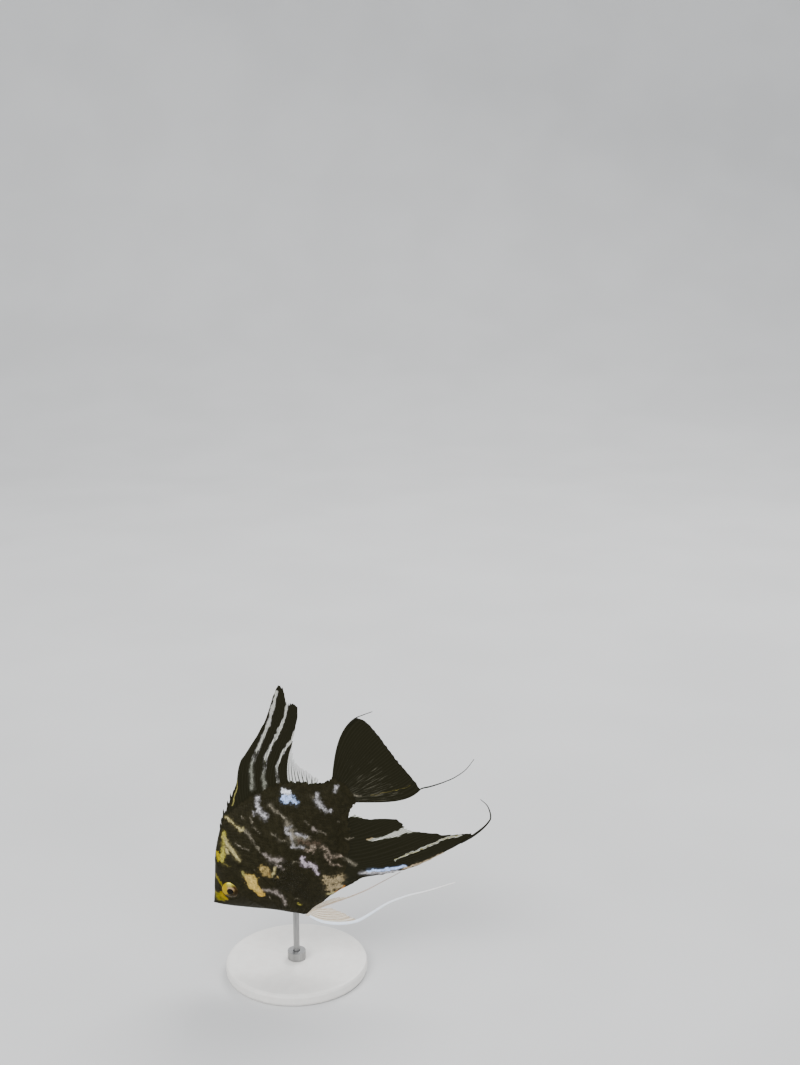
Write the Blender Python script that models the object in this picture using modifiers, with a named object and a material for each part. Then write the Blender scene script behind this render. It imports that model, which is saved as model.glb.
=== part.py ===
"""Freshwater angelfish, life size, as a still museum model on a plain display stand.

The fish is laid out level in its own frame, in fractions of its body length: s runs from the
snout (0) to the tail base (1), t is the height over the mouth-to-tail line, and y is the side,
with the left flank at -y. One empty then sets the whole fish nose down over the stand.
The world origin is the centre of the stand base's underside, +Z up.
"""

import math

import bmesh
import bpy
import numpy as np

# ---------------------------------------------------------------- driving dimensions, in metres
BODY_LENGTH = 0.085          # snout tip to tail base
NOSE_DOWN = math.radians(42.2)
GAP = 0.0003                 # clearance between neighbouring pieces
CORNER_GAP = 0.00042         # the same at an outline's points, so that its corners keep it too
FIN_ROOT = 0.0015            # fin thickness where it leaves the body
PAIRED_ROOT = 0.0010         # the same for the small paired fins
FIN_RIM = 0.0006             # fin thickness at its free edge
FILAMENT = 0.0006            # thickness of a streamer at its tip
STAND_RADIUS = 0.035
STAND_HEIGHT = 0.006
STAND_EDGE = 0.0015          # rounding of the base's top edge
ROD_RADIUS = 0.0015
ROD_SOCKET = 0.008           # how far the rod goes up into the belly
COLLAR_RADIUS = 0.0045
COLLAR_HEIGHT = 0.004
BELLY_CLEARANCE = 0.031      # height of the belly over the floor where the rod goes in
THICKNESS_FALL = 1.5         # how early a fin thins out along its rays
STREAMER_TAPER = 1.3         # the same for a streamer
ANAL_STREAMER_RADIUS = 0.0007      # streamers where they leave their fin
TAIL_STREAMER_RADIUS = 0.0005
BELLY_RAY_RADIUS = 0.00055

# Facets: stations along the body and points around it, then columns and rows of each fin.
BODY_GRID = (36, 24)
DORSAL_GRID = (40, 7)
ANAL_GRID = (34, 7)
TAIL_GRID = (20, 7)
BELLY_FIN_GRID = (7, 7)
PECTORAL_GRID = (11, 6)
STREAMER_SPANS = 14

# Finishes: colour, roughness, metallic.
FINISHES = {
    "dark_scales": ((0.020, 0.018, 0.013), 0.42, 0.0),
    "gold_plate": ((0.28, 0.22, 0.10), 0.38, 0.0),
    "gold_eye": ((0.55, 0.33, 0.04), 0.12, 0.0),
    "black_fin": ((0.012, 0.011, 0.010), 0.45, 0.0),
    "clear_fin": ((0.70, 0.68, 0.60), 0.35, 0.0),
    "stand_paint": ((0.62, 0.60, 0.56), 0.55, 0.0),
    "stand_steel": ((0.60, 0.60, 0.58), 0.28, 1.0),
}

# ------------------------------------------------- the fish, in fractions of its body length
# The back and the belly, seen from the side: (s, t).
BACK = [(-0.010, 0.002), (0.0, 0.013), (0.03, 0.037), (0.12, 0.119), (0.23, 0.223), (0.33, 0.295),
        (0.40, 0.333), (0.47, 0.343), (0.56, 0.322), (0.68, 0.258), (0.80, 0.176), (0.89, 0.114),
        (0.95, 0.092), (1.02, 0.090)]
BELLY = [(-0.010, -0.004), (0.0, -0.017), (0.03, -0.056), (0.12, -0.160), (0.22, -0.268),
         (0.30, -0.372), (0.345, -0.420), (0.40, -0.416), (0.47, -0.426), (0.54, -0.424),
         (0.61, -0.388), (0.70, -0.305), (0.79, -0.212), (0.87, -0.136), (0.93, -0.098), (1.02, -0.084)]
# Half the body's width along s, the height t where it is widest, and how sharp its keels are.
HALF_WIDTH = [(-0.010, 0.004), (0.0, 0.018), (0.04, 0.037), (0.12, 0.062), (0.22, 0.082),
              (0.34, 0.094), (0.46, 0.092), (0.60, 0.073), (0.75, 0.050), (0.88, 0.034), (1.02, 0.022)]
WIDEST = [(-0.010, -0.001), (0.15, -0.010), (0.40, -0.030), (0.70, -0.014), (1.02, 0.002)]
KEEL = [(-0.010, 1.0), (0.12, 1.15), (0.34, 1.45), (0.60, 1.6), (0.90, 1.3), (1.02, 1.2)]
SNOUT_CROWDING = 1.25        # how much closer the stations lie at the snout
BODY_END = 1.0
STALK_START = 0.885          # where the tail stalk is parted from the trunk
REGION_FRONT, REGION_REAR = -0.2, 1.2      # reach of the blocks that part the body
REGION_HIGH, REGION_SIDE = 0.45, 0.3
# The rear edge of the head, from the nape down the gill opening to the throat: (s, t).
GILL_LINE = [(0.20, 0.45), (0.255, 0.25), (0.295, 0.15), (0.325, 0.06), (0.345, -0.03), (0.352, -0.10),
             (0.337, -0.19), (0.305, -0.262), (0.262, -0.305), (0.235, -0.45)]
# The plate of the gill cover: its front runs down the cheek, its rear is cut by that edge.
GILL_PLATE = [(0.225, 0.040), (0.262, 0.074), (0.330, 0.082), (0.42, 0.060), (0.44, -0.10), (0.40, -0.25),
              (0.300, -0.240), (0.245, -0.205), (0.214, -0.140), (0.206, -0.060), (0.225, 0.040)]
PLATE_DEPTH = 0.045          # the plate reaches in to this distance from the mid plane
JAW = [(-0.06, -0.004), (0.005, -0.004), (0.045, -0.022), (0.085, -0.062), (0.092, -0.16),
       (-0.06, -0.16)]
EYE = (0.150, 0.005)         # centre of the eye, (s, t)
EYE_RADIUS = 0.050           # of the whole eyeball, whose rim lies under the skin
EYE_DEPTH = 0.028            # half the eye's thickness
EYE_STANDS_OUT = 0.0165      # how far the eye bulges past the cheek
EYE_REACH = 0.03             # the cheek's slope is taken this far ahead of and behind the eye
ROD_AT = 0.300               # s of the rod's place on the belly

# Guide rays of the two long fins, front to rear: root s, root angle, tip s, tip t, tip angle.
DORSAL_RAYS = [
    (0.372, 70, 0.385, 0.345, 60), (0.42, 66, 0.450, 0.374, 48), (0.46, 64, 0.511, 0.402, 45),
    (0.50, 63, 0.606, 0.448, 42), (0.54, 62, 0.715, 0.527, 38), (0.57, 62, 0.850, 0.565, 34),
    (0.595, 62, 1.000, 0.620, 36), (0.615, 63, 1.120, 0.688, 45), (0.64, 64, 1.183, 0.716, 52),
    (0.66, 65, 1.191, 0.688, 54), (0.675, 66, 1.150, 0.613, 50), (0.69, 66, 1.160, 0.593, 48),
    (0.72, 67, 1.176, 0.562, 42), (0.75, 68, 1.152, 0.520, 36), (0.768, 68, 1.077, 0.461, 27),
    (0.785, 68, 1.012, 0.412, 22), (0.81, 64, 0.968, 0.362, 28), (0.84, 58, 0.938, 0.300, 38),
    (0.87, 50, 0.945, 0.232, 42), (0.902, 42, 0.966, 0.150, 40)]
ANAL_RAYS = [
    (0.535, -10, 0.600, -0.441, -14), (0.56, -12, 0.675, -0.457, -20), (0.58, -16, 0.744, -0.468, -24),
    (0.598, -20, 0.845, -0.541, -48), (0.613, -28, 0.957, -0.600, -39), (0.627, -36, 1.100, -0.650, -29),
    (0.640, -42, 1.250, -0.685, -20), (0.655, -45, 1.384, -0.708, -14), (0.668, -46, 1.392, -0.690, -14),
    (0.682, -46, 1.345, -0.655, -22), (0.70, -46, 1.287, -0.611, -28), (0.73, -45, 1.196, -0.511, -28),
    (0.76, -44, 1.139, -0.443, -25), (0.785, -43, 1.128, -0.405, -22), (0.81, -42, 1.133, -0.352, -25),
    (0.835, -42, 1.065, -0.275, -28), (0.86, -42, 1.006, -0.225, -38), (0.885, -45, 0.970, -0.150, -40)]
# Rear edge of the tail fin, from its lower to its upper corner: fan position, tip s, tip t.
TAIL_EDGE = [(-1.0, 1.352, -0.288), (-0.8, 1.362, -0.213), (-0.4, 1.370, -0.115), (0.0, 1.380, -0.004),
             (0.4, 1.392, 0.110), (0.7, 1.398, 0.184), (0.92, 1.390, 0.244), (1.0, 1.368, 0.280)]
TAIL_ROOT = 0.080            # half the height of the tail fin's root
TAIL_ROOT_HEIGHT = 0.003     # height of that root's middle
TAIL_FAN = 42.0              # angle of the outermost rays at the root, and their turn back at the tip
TAIL_TURN = 8.0
TAIL_STIFFNESS = 0.33
ROOT_STIFFNESS, TIP_STIFFNESS = 0.34, 0.28      # how far the other rays hold their end angles
# Streamers beyond the fins' corners: (s, y, t), starting well inside the fin.
ANAL_STREAMER = [(1.30, 0.0, -0.692), (1.384, 0.0, -0.702), (1.455, 0.004, -0.706),
                 (1.514, 0.010, -0.698), (1.545, 0.016, -0.665), (1.560, 0.020, -0.615), (1.556, 0.022, -0.570)]
TAIL_STREAMER_LOW = [(1.28, 0.0, -0.275), (1.352, 0.0, -0.286), (1.404, 0.003, -0.314), (1.482, 0.009, -0.349),
                     (1.542, 0.015, -0.369), (1.610, 0.022, -0.378), (1.689, 0.030, -0.365)]
TAIL_STREAMER_TOP = [(1.30, 0.0, 0.274), (1.368, 0.0, 0.277), (1.410, 0.003, 0.263), (1.462, 0.007, 0.241)]
# Leading ray of each belly fin, then three points of its web's free edge: (s, y, t).
LEFT_BELLY_RAY = [(0.352, -0.020, -0.436), (0.386, -0.045, -0.493), (0.435, -0.060, -0.545),
                  (0.494, -0.075, -0.587), (0.574, -0.090, -0.622), (0.647, -0.100, -0.631),
                  (0.751, -0.110, -0.640), (0.873, -0.115, -0.676), (0.981, -0.115, -0.730),
                  (1.144, -0.100, -0.811)]
RIGHT_BELLY_RAY = [(0.362, 0.018, -0.432), (0.400, 0.032, -0.452), (0.448, 0.042, -0.474),
                   (0.539, 0.052, -0.515), (0.620, 0.060, -0.548), (0.699, 0.066, -0.574),
                   (0.776, 0.070, -0.592), (0.900, 0.070, -0.618)]
BELLY_FIN_ROOT = 0.050       # length of a belly fin's root along the keel
LEFT_WEB_TIPS = [(0.560, -0.080, -0.600), (0.530, -0.062, -0.545), (0.490, -0.040, -0.480)]
RIGHT_WEB_TIPS = [(0.560, 0.052, -0.515), (0.540, 0.046, -0.490), (0.500, 0.036, -0.462)]
WEB_TIP_ON_RAY = 4           # the web ends at this point of the leading ray
BELLY_ROOT_INWARDS = 0.1     # drift of that root inwards and upwards, for its length
BELLY_ROOT_UPWARDS = 0.25
# Pectoral fin: its root on the flank and the reach of its fan.
PECTORAL_ROOT = (0.372, -0.125)
PECTORAL_ROOT_HALF = 0.026
PECTORAL_LENGTH = 0.235
PECTORAL_DROOP = math.radians(-14.0)
PECTORAL_FAN = math.radians(40.0)
PECTORAL_OUT = math.radians(26.0)
PECTORAL_BOW = 0.15          # outward bow of the rays
PECTORAL_ROUNDING = 0.15     # how much shorter the outer rays are
PECTORAL_CREST = 0.25        # fan position of the longest ray


# ---------------------------------------------------------------- curves and surfaces
def through(points, x):
    """Smooth curve through (x, y) points that never overshoots them: cubic pieces whose slope at
    a point is the harmonic mean of its neighbours' slopes, and zero at a peak or a dip."""
    table = np.array(points, float)
    px, py = table[:, 0], table[:, 1]
    step = np.diff(px)
    slope = np.diff(py) / step
    tangent = np.concatenate([slope[:1], np.zeros(len(px) - 2), slope[-1:]])
    rising = slope[:-1] * slope[1:] > 0
    total = np.where(rising, slope[:-1] + slope[1:], 1.0)
    tangent[1:-1] = np.where(rising, 2 * slope[:-1] * slope[1:] / total, 0.0)
    x = np.clip(np.asarray(x, float), px[0], px[-1])
    i = np.clip(np.searchsorted(px, x, side="right") - 1, 0, len(step) - 1)
    u = (x - px[i]) / step[i]
    return ((1 + 2 * u) * (1 - u) ** 2 * py[i] + u * (1 - u) ** 2 * step[i] * tangent[i]
            + u * u * (3 - 2 * u) * py[i + 1] + u * u * (u - 1) * step[i] * tangent[i + 1])


def along(points, u):
    """Point on the smooth curve through points of any dimension, u from 0 to 1 by length."""
    table = np.array(points, float)
    reach = np.concatenate([[0.0], np.cumsum(np.linalg.norm(np.diff(table, axis=0), axis=1))])
    columns = [through(np.c_[reach / reach[-1], table[:, k]], u) for k in range(table.shape[1])]
    return np.stack(columns, -1)


def heading(degrees):
    """Unit vector in the side view at an angle over the body's axis."""
    angle = np.radians(degrees)
    return np.stack([np.cos(angle), np.sin(angle)], -1)


def bent_rays(root, tip, root_angle, tip_angle, v, root_stiffness=ROOT_STIFFNESS, tip_stiffness=TIP_STIFFNESS):
    """Cubic curves from each root to its tip, leaving and arriving at the given angles."""
    chord = np.linalg.norm(tip - root, axis=-1)[:, None]
    first = root + root_stiffness * chord * heading(root_angle)
    last = tip - tip_stiffness * chord * heading(tip_angle)
    a, b, c, d = (p[:, None, :] for p in (root, first, last, tip))
    v = v[None, :, None]
    return (1 - v) ** 3 * a + 3 * (1 - v) ** 2 * v * b + 3 * (1 - v) * v * v * c + v ** 3 * d


def half_width(s, t):
    """Half the body's width at a point of the side view: widest at its axis, nothing at the keels."""
    axis = through(WIDEST, s)
    rise = np.where(t >= axis, (t - axis) / (through(BACK, s) - axis), (axis - t) / (axis - through(BELLY, s)))
    rise = np.clip(rise, 0.0, 1.0)
    return through(HALF_WIDTH, s) * (1 - rise ** 2) ** (through(KEEL, s) / 2)


def long_fin(rays, margin, outward, columns, rows):
    """Side view of a fin along the back or the belly: its guide rays blended front to rear,
    each ray's root kept just clear of the body's margin on the outward side."""
    table = np.array(rays, float)
    order = np.arange(len(table))
    place = np.linspace(0, len(table) - 1, columns)
    root_s, root_angle, tip_s, tip_t, tip_angle = (through(np.c_[order, table[:, k]], place) for k in range(5))
    root = np.stack([root_s, through(margin, root_s) + outward * GAP / BODY_LENGTH], -1)
    tip = np.stack([tip_s, tip_t], -1)
    return bent_rays(root, tip, root_angle, tip_angle, np.linspace(0, 1, rows))


def tail_fin(columns, rows):
    """Side view of the tail fin: a fan from the end of the tail stalk to a nearly straight edge."""
    table = np.array(TAIL_EDGE, float)
    u = np.linspace(-1, 1, columns)
    tip = np.stack([through(table[:, [0, 1]], u), through(table[:, [0, 2]], u)], -1)
    root = np.stack([np.full(columns, BODY_END + GAP / BODY_LENGTH), TAIL_ROOT_HEIGHT + TAIL_ROOT * u], -1)
    return bent_rays(root, tip, TAIL_FAN * u, -TAIL_TURN * u * abs(u), np.linspace(0, 1, rows),
                     TAIL_STIFFNESS, TAIL_STIFFNESS)


def on_side(grid, lateral):
    """Metres from a side-view grid (s, t) and a sideways offset."""
    s, t = grid[..., 0], grid[..., 1]
    return BODY_LENGTH * np.stack([s, np.broadcast_to(lateral, s.shape), t], -1)


# ---------------------------------------------------------------- object makers
def material(name, colour, roughness, metallic):
    made = bpy.data.materials.new(name)
    made.use_nodes = True
    shader = made.node_tree.nodes["Principled BSDF"]
    shader.inputs["Base Color"].default_value = (*colour, 1.0)
    shader.inputs["Roughness"].default_value = roughness
    shader.inputs["Metallic"].default_value = metallic
    made.diffuse_color = (*colour, 1.0)
    return made


def add_object(name, mesh, collection, parent=None, finish=None):
    thing = bpy.data.objects.new(name, mesh)
    collection.objects.link(thing)
    thing.parent = parent
    if finish is not None:
        mesh.materials.append(material(name, *FINISHES[finish]))
    return thing


def cutter(name, mesh, parent=None):
    """A helper solid for a Boolean, kept out of the model."""
    thing = add_object(name, mesh, cutters, parent)
    thing.hide_render = True
    thing.display_type = "WIRE"
    return thing


def boolean(thing, operation, other):
    step = thing.modifiers.new(operation.lower() + "_" + other.name, "BOOLEAN")
    step.operation = operation
    step.solver = "EXACT"
    step.object = other
    return thing


def smooth(mesh, angle=math.radians(40)):
    mesh.shade_smooth()
    mesh.set_sharp_from_angle(angle=angle)


def grid_faces(columns, rows):
    """Quads of a grid of points stored column by column."""
    corner = (np.arange(columns - 1)[:, None] * rows + np.arange(rows - 1)[None, :]).ravel()
    return np.stack([corner, corner + rows, corner + rows + 1, corner + 1], -1).tolist()


def body_mesh():
    """The whole body as rings along s: each ring spans belly to back, is widest at the body's
    axis and narrows to a keel above and below."""
    stations, around = BODY_GRID
    u = np.linspace(0, 1, stations)
    s = BACK[0][0] + (BODY_END - BACK[0][0]) * u ** SNOUT_CROWDING
    angle = np.arange(around) * 2 * np.pi / around
    side, rise = np.cos(angle)[None, :], np.sin(angle)[None, :]
    axis, back, belly = (through(line, s)[:, None] for line in (WIDEST, BACK, BELLY))
    t = axis + np.where(rise > 0, (back - axis) * rise, (axis - belly) * rise)
    width = through(HALF_WIDTH, s)[:, None] * np.sign(side) * np.abs(side) ** through(KEEL, s)[:, None]
    points = BODY_LENGTH * np.stack([np.broadcast_to(s[:, None], t.shape), width, t], -1)
    ring = np.arange(around)
    start = (np.arange(stations - 1) * around)[:, None]
    a, b = start + ring, start + (ring + 1) % around
    faces = np.stack([a, b, b + around, a + around], -1).reshape(-1, 4).tolist()
    faces.append(ring[::-1].tolist())
    faces.append((ring + (stations - 1) * around).tolist())
    mesh = bpy.data.meshes.new("body")
    mesh.from_pydata(points.reshape(-1, 3).tolist(), [], faces)
    work = bmesh.new()
    work.from_mesh(mesh)
    finish_mesh(work, mesh)
    return mesh


def finish_mesh(work, mesh):
    """Write a closed bmesh to its mesh with every face pointing outwards."""
    bmesh.ops.recalc_face_normals(work, faces=work.faces)
    if work.calc_volume(signed=True) < 0:
        bmesh.ops.reverse_faces(work, faces=work.faces)
    work.to_mesh(mesh)
    work.free()


def plate_mesh(name, outline, near, far):
    """A flat plate: a side-view outline carried from one y to another, all in body lengths."""
    work = bmesh.new()
    corners = [work.verts.new((s * BODY_LENGTH, near * BODY_LENGTH, t * BODY_LENGTH)) for s, t in outline]
    face = work.faces.new(corners)
    sweep = bmesh.ops.extrude_face_region(work, geom=[face])
    moved = [part for part in sweep["geom"] if isinstance(part, bmesh.types.BMVert)]
    bmesh.ops.translate(work, verts=moved, vec=(0, (far - near) * BODY_LENGTH, 0))
    mesh = bpy.data.meshes.new(name)
    finish_mesh(work, mesh)
    return mesh


def spheroid_mesh(name, radius, depth, segments=16, rings=10):
    """A ball flattened along y, with its poles on the y axis."""
    work = bmesh.new()
    bmesh.ops.create_uvsphere(work, u_segments=segments, v_segments=rings, radius=radius)
    for vert in work.verts:
        x, y, z = vert.co
        vert.co = (x, -z * depth / radius, y)
    mesh = bpy.data.meshes.new(name)
    finish_mesh(work, mesh)
    smooth(mesh)
    return mesh


def rod_mesh(name, radius, low, high, segments=16):
    """An upright cylinder between two heights."""
    work = bmesh.new()
    bmesh.ops.create_cone(work, cap_ends=True, segments=segments, radius1=radius, radius2=radius,
                          depth=high - low)
    bmesh.ops.translate(work, verts=work.verts, vec=(0, 0, (low + high) / 2))
    mesh = bpy.data.meshes.new(name)
    finish_mesh(work, mesh)
    smooth(mesh)
    return mesh


def fin(name, points, finish, streamers=(), root_thickness=FIN_ROOT):
    """A fin: an open sheet of points (column, row, xyz) thickened by Solidify, thick at the
    roots of its rays and thin at their tips, with its streamers joined on."""
    columns, rows = points.shape[:2]
    mesh = bpy.data.meshes.new(name)
    mesh.from_pydata(points.reshape(-1, 3).tolist(), [], grid_faces(columns, rows))
    smooth(mesh)
    thing = add_object(name, mesh, model, fish_pose, finish)
    group = thing.vertex_groups.new(name="root")
    fullness = (1 - np.linspace(0, 1, rows)) ** THICKNESS_FALL
    for row, weight in enumerate(fullness):
        group.add([column * rows + row for column in range(columns)], float(weight), "REPLACE")
    wall = thing.modifiers.new("thickness", "SOLIDIFY")
    wall.thickness = root_thickness
    wall.offset = 0.0
    wall.vertex_group = group.name
    wall.thickness_vertex_group = FIN_RIM / root_thickness
    for number, (route, start_radius) in enumerate(streamers):
        boolean(thing, "UNION", streamer(f"{name}_streamer_{number}", route, start_radius))
    return thing


def streamer(name, route, start_radius):
    """A tapering round thread along a smooth curve through the route's points."""
    spans = STREAMER_SPANS
    points = BODY_LENGTH * along(route, np.linspace(0, 1, spans + 1))
    curve = bpy.data.curves.new(name, "CURVE")
    curve.dimensions = "3D"
    curve.bevel_depth = FILAMENT / 2
    curve.bevel_resolution = 1
    curve.use_fill_caps = True
    spline = curve.splines.new("POLY")
    spline.points.add(spans)
    for number, (point, place) in enumerate(zip(spline.points, points)):
        taper = (1 - number / spans) ** STREAMER_TAPER
        point.co = (*place, 1.0)
        point.radius = 1 + (start_radius / (FILAMENT / 2) - 1) * taper
    guide = bpy.data.objects.new(name + "_curve", curve)
    cutters.objects.link(guide)
    bpy.context.view_layer.update()
    mesh = bpy.data.meshes.new_from_object(guide.evaluated_get(bpy.context.evaluated_depsgraph_get()))
    bpy.data.objects.remove(guide)
    work = bmesh.new()
    work.from_mesh(mesh)
    bmesh.ops.remove_doubles(work, verts=work.verts, dist=0.00001)
    finish_mesh(work, mesh)
    return cutter(name, mesh, fish_pose)


# ---------------------------------------------------------------- the scene's own collections
for old in list(bpy.data.objects):
    bpy.data.objects.remove(old, do_unlink=True)
model = bpy.data.collections.new("angelfish")
cutters = bpy.data.collections.new("cutters")
bpy.context.scene.collection.children.link(model)
bpy.context.scene.collection.children.link(cutters)

# The pose: turned nose down about the snout tip, with the rod's place on the belly straight above
# the stand's centre.
belly_at_rod = BODY_LENGTH * np.array([ROD_AT, float(through(BELLY, ROD_AT))])
rod_ahead = belly_at_rod[0] * math.cos(NOSE_DOWN) - belly_at_rod[1] * math.sin(NOSE_DOWN)
rod_drop = belly_at_rod[0] * math.sin(NOSE_DOWN) + belly_at_rod[1] * math.cos(NOSE_DOWN)
fish_pose = bpy.data.objects.new("fish_pose", None)
model.objects.link(fish_pose)
fish_pose.location = (-rod_ahead, 0.0, BELLY_CLEARANCE - rod_drop)
fish_pose.rotation_euler = (0.0, -NOSE_DOWN, 0.0)


# ---------------------------------------------------------------- body
whole_body = body_mesh()
smooth(whole_body, math.radians(60))
gap = GAP / BODY_LENGTH
plate_outline = [tuple(p) for p in along(GILL_PLATE, np.linspace(0, 1, 31))[:-1]]
edge = along(GILL_LINE, np.linspace(0, 1, 25))
corner_gap = CORNER_GAP / BODY_LENGTH


def region(name, outline, near=-REGION_SIDE, far=REGION_SIDE):
    """A block of the side view's outline, for parting the body."""
    return cutter(name, plate_mesh(name, outline, near, far), fish_pose)


def grown(outline, margin):
    """An outline moved away from its centre by a margin at every point."""
    table = np.array(outline, float)
    ray = table - table.mean(0)
    return [tuple(p) for p in table + margin * ray / np.linalg.norm(ray, axis=1)[:, None]]


def body_part(name, finish, *regions):
    """The stretch of the whole body that lies inside every one of the regions."""
    thing = add_object(name, whole_body.copy(), model, fish_pose, finish)
    for block in regions:
        boolean(thing, "INTERSECT", block)
    return thing


head_region = region("head_region", [(REGION_FRONT, REGION_HIGH), *((s, t) for s, t in edge),
                                     (REGION_FRONT, -REGION_HIGH)])
trunk_region = region("trunk_region", [(STALK_START - gap, REGION_HIGH), *((s + gap, t) for s, t in edge),
                                       (STALK_START - gap, -REGION_HIGH)])
stalk_region = region("stalk_region", [(STALK_START, -REGION_HIGH), (REGION_REAR, -REGION_HIGH),
                                       (REGION_REAR, REGION_HIGH), (STALK_START, REGION_HIGH)])
head = body_part("head", "dark_scales", head_region)
boolean(head, "DIFFERENCE", region("jaw_hollow", grown(JAW, corner_gap)))
body_part("lower_jaw", "dark_scales", region("jaw_region", JAW))
body_part("tail_stalk", "dark_scales", stalk_region)
trunk = body_part("trunk", "dark_scales", trunk_region)
rod_hole = cutter("rod_hole", rod_mesh("rod_hole", ROD_RADIUS + GAP, 0.0, BELLY_CLEARANCE + ROD_SOCKET + GAP))
boolean(trunk, "DIFFERENCE", rod_hole)

eye_side = float(half_width(*EYE)) + EYE_STANDS_OUT - EYE_DEPTH
cheek_rise = float(half_width(EYE[0] + EYE_REACH, EYE[1]) - half_width(EYE[0] - EYE_REACH, EYE[1]))
eye_turn = math.atan2(cheek_rise, 2 * EYE_REACH)
for name, side in (("left", -1), ("right", 1)):
    plate_region = region("gill_plate_region_" + name, plate_outline, side * PLATE_DEPTH, side * REGION_SIDE)
    body_part("gill_cover_" + name, "gold_plate", head_region, plate_region)
    hollow = region("gill_hollow_" + name, grown(plate_outline, corner_gap),
                    side * (PLATE_DEPTH - gap), side * REGION_SIDE)
    boolean(head, "DIFFERENCE", hollow)
    eye_ball = spheroid_mesh("eye_ball", EYE_RADIUS * BODY_LENGTH, EYE_DEPTH * BODY_LENGTH)
    eye = add_object("eye_" + name, eye_ball, model, fish_pose, "gold_eye")
    socket = cutter("eye_socket_" + name, spheroid_mesh("eye_socket", EYE_RADIUS * BODY_LENGTH + GAP,
                                                       EYE_DEPTH * BODY_LENGTH + GAP), fish_pose)
    for ball in (eye, socket):
        ball.location = BODY_LENGTH * np.array([EYE[0], side * eye_side, EYE[1]])
        ball.rotation_euler = (0, 0, side * eye_turn)
    boolean(head, "DIFFERENCE", socket)

# ---------------------------------------------------------------- fins on the mid plane
fin("dorsal_fin", on_side(long_fin(DORSAL_RAYS, BACK, 1, *DORSAL_GRID), 0.0), "black_fin")
fin("anal_fin", on_side(long_fin(ANAL_RAYS, BELLY, -1, *ANAL_GRID), 0.0), "black_fin",
    [(ANAL_STREAMER, ANAL_STREAMER_RADIUS)])
fin("caudal_fin", on_side(tail_fin(*TAIL_GRID), 0.0), "black_fin",
    [(TAIL_STREAMER_LOW, TAIL_STREAMER_RADIUS), (TAIL_STREAMER_TOP, TAIL_STREAMER_RADIUS)])


# ---------------------------------------------------------------- paired fins
def belly_fin(name, lead, web_tips, side):
    """A belly fin: a web of rays from a short root beside the keel, its first ray a long thread.
    The web's rays are straight but for a share of the first ray's bow."""
    columns, rows = BELLY_FIN_GRID
    fraction = np.linspace(0, 1, columns)[:, None]
    start, end = np.array(lead[0], float), np.array(lead[WEB_TIP_ON_RAY], float)
    root = start + BELLY_FIN_ROOT * fraction * np.array([1.0, -BELLY_ROOT_INWARDS * side, BELLY_ROOT_UPWARDS])
    tip = along([lead[WEB_TIP_ON_RAY], *web_tips], fraction[:, 0])
    v = np.linspace(0, 1, rows)[:, None]
    straight = root[:, None, :] * (1 - v) + tip[:, None, :] * v
    bow = along(lead[:WEB_TIP_ON_RAY + 1], v[:, 0]) - (start * (1 - v) + end * v)
    points = straight + bow * (1 - fraction[:, :, None])
    return fin(name, BODY_LENGTH * points, "clear_fin", [(lead, BELLY_RAY_RADIUS)], PAIRED_ROOT)


belly_fin("pelvic_fin_left", LEFT_BELLY_RAY, LEFT_WEB_TIPS, -1)
belly_fin("pelvic_fin_right", RIGHT_BELLY_RAY, RIGHT_WEB_TIPS, 1)


def pectoral_fin(name, side):
    """A pectoral fin: a fan of rays from an upright root on the flank, spread back and outwards."""
    columns, rows = PECTORAL_GRID
    u = np.linspace(1, -1, columns)
    v = np.linspace(0, 1, rows)[None, :]
    root_t = PECTORAL_ROOT[1] + PECTORAL_ROOT_HALF * u
    start = (half_width(PECTORAL_ROOT[0], root_t) + (GAP + PAIRED_ROOT / 2) / BODY_LENGTH)[:, None]
    angle = (PECTORAL_DROOP + PECTORAL_FAN * u)[:, None]
    reach = PECTORAL_LENGTH * (1 - PECTORAL_ROUNDING * (u - PECTORAL_CREST) ** 2)[:, None] * v
    back = PECTORAL_ROOT[0] + reach * np.cos(angle) * math.cos(PECTORAL_OUT)
    out = start + reach * math.sin(PECTORAL_OUT) * (1 + PECTORAL_BOW * np.sin(np.pi * v))
    height = root_t[:, None] + reach * np.sin(angle)
    points = BODY_LENGTH * np.stack([back, side * out, height], -1)
    return fin(name, points, "clear_fin", root_thickness=PAIRED_ROOT)


pectoral_fin("pectoral_fin_left", -1)
pectoral_fin("pectoral_fin_right", 1)

# ---------------------------------------------------------------- display stand
base = add_object("stand_base", rod_mesh("stand_base", STAND_RADIUS, 0.0, STAND_HEIGHT, 48), model,
                  finish="stand_paint")
rounding = base.modifiers.new("rounded_edge", "BEVEL")
rounding.width = STAND_EDGE
rounding.segments = 2
rounding.limit_method = "ANGLE"
rounding.angle_limit = math.radians(60)

collar_foot = STAND_HEIGHT + GAP
collar_mesh = rod_mesh("stand_collar", COLLAR_RADIUS, collar_foot, collar_foot + COLLAR_HEIGHT, 20)
collar = add_object("stand_collar", collar_mesh, model, finish="stand_steel")
collar_hole = cutter("collar_hole", rod_mesh("collar_hole", ROD_RADIUS + GAP, 0, BELLY_CLEARANCE))
boolean(collar, "DIFFERENCE", collar_hole)

steel_rod = rod_mesh("stand_rod", ROD_RADIUS, STAND_HEIGHT + GAP, BELLY_CLEARANCE + ROD_SOCKET)
add_object("stand_rod", steel_rod, model, finish="stand_steel")
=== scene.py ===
"""The looks of a marbled freshwater angelfish, nose down on a rod over a round display stand.

The fish is worked out in its own frame, in fractions of its body length: s runs from the snout (0) to
the tail base (1), t is the height over that line and y is the side, with the left flank at -y.
turned() carries it into the world, in metres. A point on a fin is placed by its ray, counted along the
fin's guide rays, and by v, which runs from the root (0) to the ray's tip (1). Brush strokes and the
tables marked so are in thousandths of the body length.
"""
import math

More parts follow.
